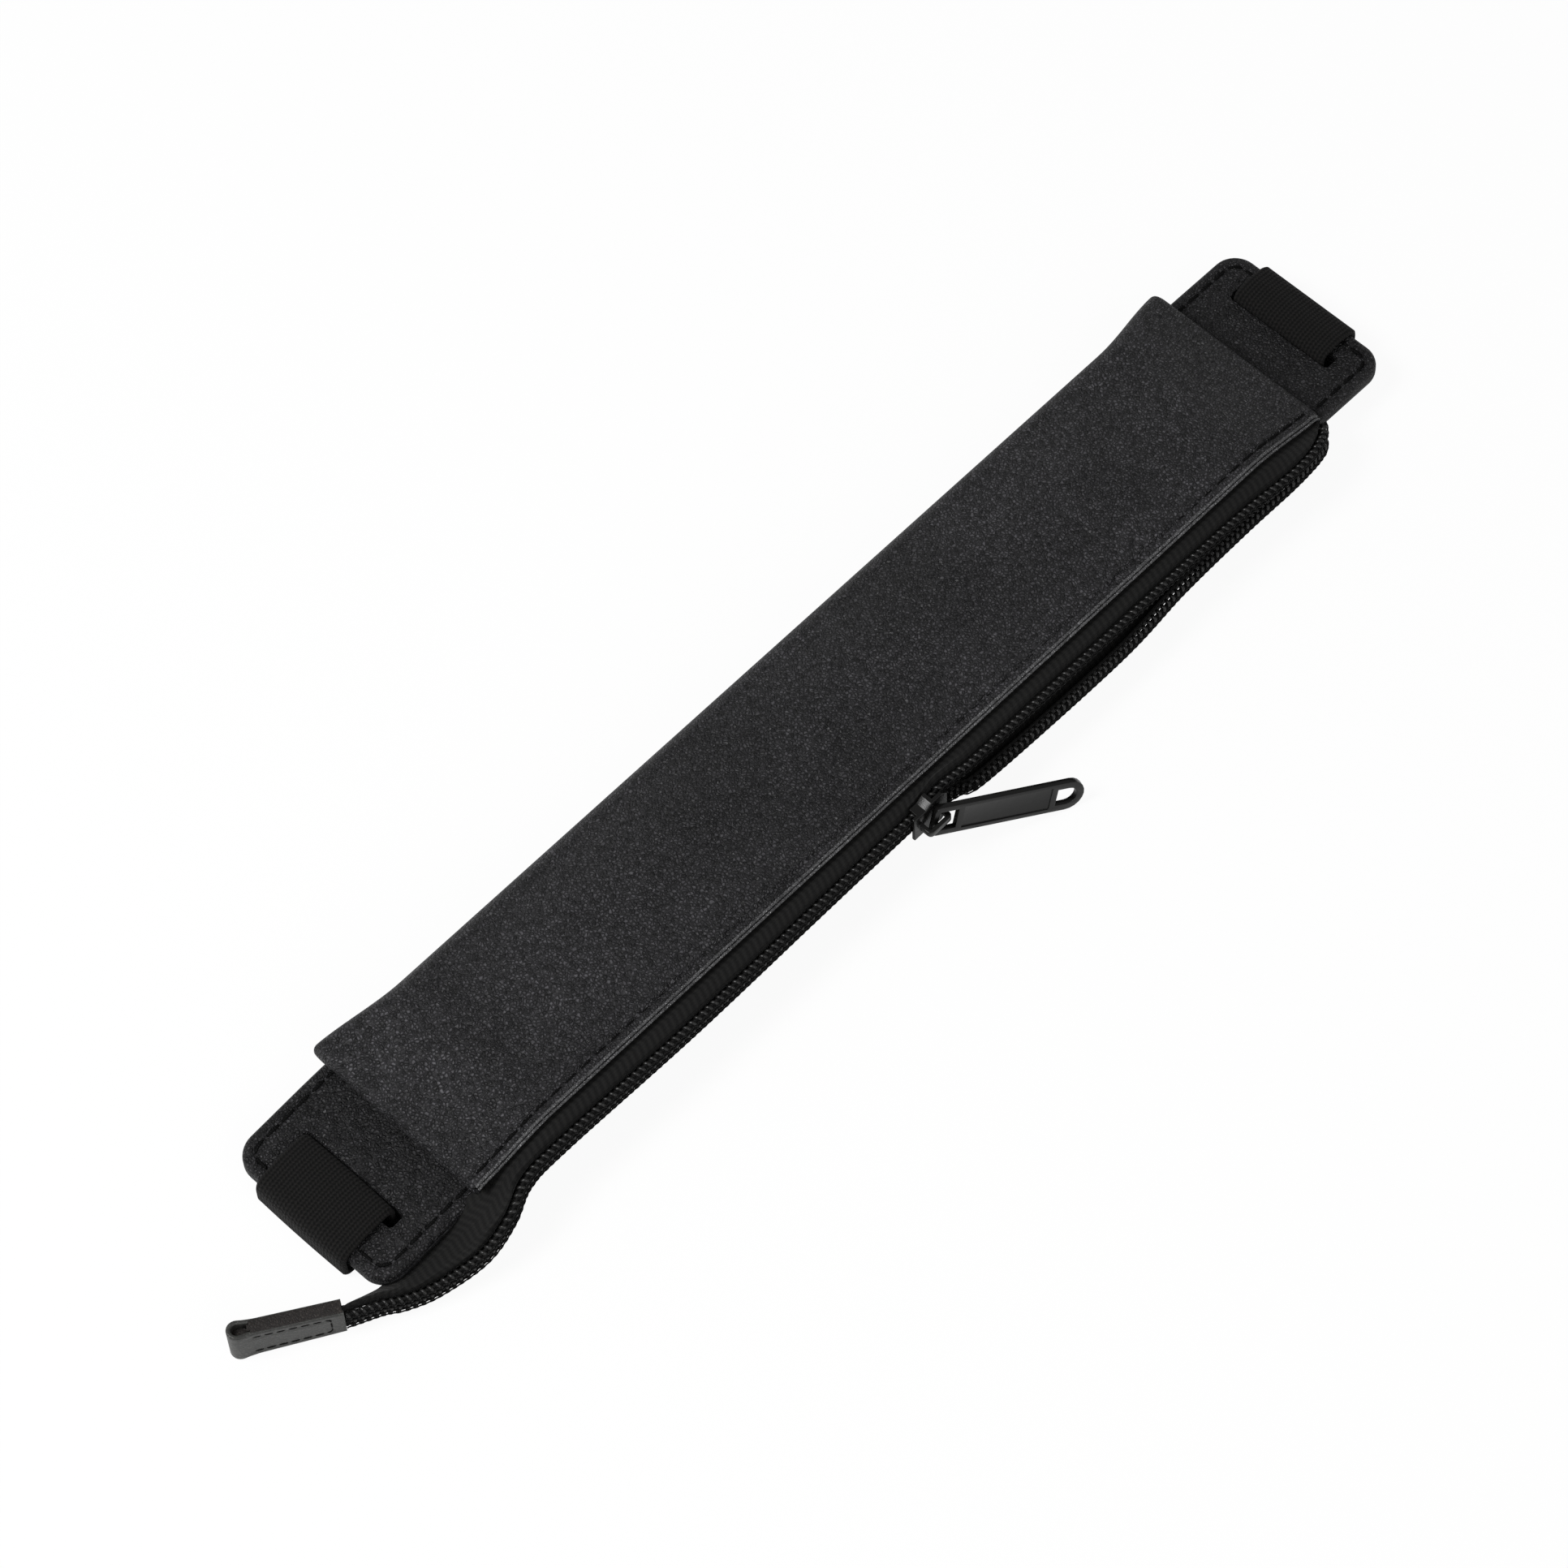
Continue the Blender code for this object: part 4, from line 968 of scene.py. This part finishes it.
def tab():
    """Leather strip folded round the zip's end: two leaves on a core, a loop, and its stitches."""
    # Against the model: how far moved, and turned in radians; and its height over the ground
    moved, turned, clear = 0.15, 0.035, 0.1
    start = UPPER[1]
    inward = UPPER[0] - start
    inward.z = 0
    inward.normalize()
    side = inward.cross(Vector((0, 0, 1)))
    base = np.array(start) + np.array(side) * (TAPE / 2 - moved)
    base[2] = clear
    inward = (inward - side * turned).normalized()
    side = inward.cross(Vector((0, 0, 1)))
    inward, side = np.array(inward), np.array(side)
    length, tall, flare, thick = TAB
    leaf, loop = 0.55 + thick / 2, 1.25
    centre = length - loop - thick / 2
    neck = centre - loop

    def at_height(x, y, z):
        grow = 1 + (flare / tall - 1) * x / length
        return base + inward * x + side * y + np.array((0, 0, z * grow))

    near = [(neck * share, -leaf) for share in (0, 0.25, 0.5, 0.75)] + [(neck - loop, -leaf)]
    total, at = walk(near + arc((centre, 0), loop, -120, 120, 12) + [(x, -y) for x, y in near[::-1]])
    spots = at(np.linspace(0, total, 120))
    for _ in range(3):
        spots[1:-1] = (spots[:-2] + 2 * spots[1:-1] + spots[2:]) / 4
    tangent = np.gradient(spots, axis=0)
    tangent /= np.linalg.norm(tangent, axis=1)[:, None]
    normal = np.stack([tangent[:, 1], -tangent[:, 0]], axis=1)

    def section(half, low, high, r=0.28):
        """Closed section of a strip on edge, with rounded corners."""
        angles = np.radians((0, 30, 60, 90))
        shape = [(-half, z) for z in np.linspace(low + r, high - r, 14)]
        shape += [(-half + r - r * math.cos(a), high - r + r * math.sin(a)) for a in angles[1:]]
        shape += [(half - r + r * math.sin(a), high - r + r * math.cos(a)) for a in angles]
        shape += [(half, z) for z in np.linspace(high - r, low + r, 14)[1:]]
        shape += [(half - r + r * math.cos(a), low + r - r * math.sin(a)) for a in angles[1:]]
        shape += [(-half + r - r * math.sin(a), low + r - r * math.cos(a)) for a in angles[:3]]
        return shape

    # Way of the seam from the long edges and from the open end
    inset, end = 0.95, 2.0
    rows = []
    for (x, y), (nx, ny) in zip(spots, normal):
        row = []
        for out, z in section(thick / 2, 0.0, tall):
            if x < neck and abs(out) > thick / 2 - 0.01:
                off = min(abs(z - inset), abs(z - (tall - inset)))
                level = math.exp(-((off / 0.2) ** 2)) if x > end - 0.3 else 0.0
                upright = math.exp(-(((x - end) / 0.25) ** 2)) if inset < z < tall - inset else 0.0
                out -= math.copysign(0.13 * max(level, upright), out)
            row.append(at_height(x + nx * out, y + ny * out, z))
        rows.append(row)
    Build().grid(rows).object("tab_strip", TAB_LEATHER, "case", "tail_tab")

    # Core between the leaves, painted upper edge and filling of the loop
    core = Build()
    widths = (0.65, 1.0, 1.2, 1.2, 1.0, 0.5)
    for half, low, high, places in (
        (0.53, 0.1, tall - 0.08, [(x, 1.0) for x in np.linspace(0.15, neck - 0.2, 14)]),
        (1.05, tall - 0.3, tall + 0.03, [(x, 1.0) for x in np.linspace(0.15, neck - 0.6, 14)]),
        (0.8, 0.1, tall - 1.2, zip(np.linspace(neck - 0.2, centre + 0.9, 6), widths)),
    ):
        shape = section(half, low, high, 0.1)
        core.grid([[at_height(x, y * w, z) for y, z in shape] for x, w in places])
    core.object("tab_core", TAB_EDGE, "case")

    sew = Build()
    corner, sunk, stop = 0.7, 0.06, neck - 0.4
    outline = [(stop, tall - inset)] + arc((end + corner, tall - inset - corner), corner, 90, 180, 5)
    outline += arc((end + corner, inset + corner), corner, 180, 270, 5) + [(stop, inset)]
    for face in (-1, 1):
        points = [at_height(x, face * (leaf + thick / 2 - sunk), z) for x, z in outline]
        stitches(sew, points, pitch=1.7, share=0.7, radius=0.12, dip=0.15, down=-side * face)
    sew.object("tab_stitches", COIL_THREAD, "case", None, 60)


# Stage


def stage():
    """Pale floor, white surroundings and two soft lamps."""
    half, below = 3, 0.00005
    floor = bpy.data.meshes.new("floor")
    corners = [(-half, -half, 0), (half, -half, 0), (half, half, 0), (-half, half, 0)]
    floor.from_pydata(corners, [], [(0, 1, 2, 3)])
    ground = bpy.data.objects.new("floor", floor)
    ground.location.z = -below
    bpy.context.scene.collection.objects.link(ground)
    paint = bpy.data.materials.new("floor_paint")
    paint.use_nodes = True
    tree = paint.node_tree
    shader = tree.nodes["Principled BSDF"]
    shader.inputs["Base Color"].default_value = (0.86, 0.86, 0.86, 1)
    shader.inputs["Roughness"].default_value = 0.9
    shader.inputs["Specular IOR Level"].default_value = 0.1
    glow = tree.nodes.new("ShaderNodeEmission")
    glow.inputs["Strength"].default_value = 1.0
    rays = tree.nodes.new("ShaderNodeLightPath")
    seen = tree.nodes.new("ShaderNodeMath")
    seen.operation = "MULTIPLY"
    seen.inputs[1].default_value = 0.93
    tree.links.new(rays.outputs["Is Camera Ray"], seen.inputs[0])
    blend = tree.nodes.new("ShaderNodeMixShader")
    tree.links.new(seen.outputs[0], blend.inputs[0])
    tree.links.new(shader.outputs[0], blend.inputs[1])
    tree.links.new(glow.outputs[0], blend.inputs[2])
    tree.links.new(blend.outputs[0], tree.nodes["Material Output"].inputs[0])
    floor.materials.append(paint)

    world = bpy.data.worlds.new("studio")
    world.use_nodes = True
    bpy.context.scene.world = world
    tree = world.node_tree
    sky = tree.nodes["Background"]
    sky.inputs["Color"].default_value = (1, 1, 1, 1)
    sky.inputs["Strength"].default_value = 0.3
    rays = tree.nodes.new("ShaderNodeLightPath")
    white = tree.nodes.new("ShaderNodeBackground")
    white.inputs["Strength"].default_value = 1.0
    blend = tree.nodes.new("ShaderNodeMixShader")
    tree.links.new(rays.outputs["Is Camera Ray"], blend.inputs[0])
    tree.links.new(sky.outputs[0], blend.inputs[1])
    tree.links.new(white.outputs[0], blend.inputs[2])
    tree.links.new(blend.outputs[0], tree.nodes["World Output"].inputs[0])

    for name, at, size, power in (
        ("key_lamp", (-0.5, 0.24, 0.76), 0.35, 6.7),
        ("fill_lamp", (-0.2, -0.75, 0.6), 0.7, 3.0),
    ):
        lamp = bpy.data.lights.new(name, "AREA")
        lamp.size = size
        lamp.energy = power
        obj = bpy.data.objects.new(name, lamp)
        obj.location = at
        obj.rotation_euler = (Vector((0, 0, 0)) - Vector(at)).to_track_quat("-Z", "Y").to_euler()
        bpy.context.scene.collection.objects.link(obj)


def camera():
    """Aimed through the photograph's centre; the fitted point of view is 900 mm from the plate's middle."""
    azimuth, elevation, roll = (math.radians(a) for a in (-44.205, 58.698, -2.538))
    back = Vector((
        math.sin(azimuth) * math.cos(elevation), -math.cos(azimuth) * math.cos(elevation), math.sin(elevation)
    ))
    right = Vector((0, 0, 1)).cross(back).normalized()
    up = back.cross(right)
    rolled = right * math.cos(roll) + up * math.sin(roll)
    up = up * math.cos(roll) - right * math.sin(roll)
    right = rolled
    # Pixels of the photograph
    width, focal, shift_x, shift_y = 1932, 7425.4, 55.14, -55.88
    ahead = (-back - right * (shift_x / focal) + up * (shift_y / focal)).normalized()
    side = ahead.cross(up).normalized()
    lens = bpy.data.cameras.new("camera")
    lens.sensor_width = 36.0
    lens.lens = lens.sensor_width * focal / width
    lens.clip_start = 0.01
    obj = bpy.data.objects.new("camera", lens)
    turned = Matrix((side, side.cross(ahead), -ahead)).transposed()
    distance = 0.9
    obj.matrix_world = Matrix.Translation(back * distance + Vector((0, 0, PLATE_TOP * MM))) @ turned.to_4x4()
    bpy.context.scene.collection.objects.link(obj)
    bpy.context.scene.camera = obj


def board_material():
    """A fibre look for the hidden stiffening board, which keeps the model's shape."""
    s = Shader("board_fibre", Specular_IOR_Level=0.2)
    fibre = s.noise(s.place(), 1200.0, 3.0, 0.7)
    s.plug(Base_Color=s.mix(fibre, (0.19, 0.18, 0.16), (0.3, 0.28, 0.25)))
    s.plug(Roughness=s.mapped(fibre, 0.2, 0.8, 0.75, 0.95))
    s.plug(Normal=s.bump(fibre, 0.05))
    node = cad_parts["plate_board"]
    for slot in node.material_slots:
        slot.material = s.material


camera()
stage()
board_material()
plate()
strap()
pouch()
zip_rows()
hardware()
tab()

bpy.context.view_layer.update()
bpy.context.scene.view_settings.view_transform = "Standard"
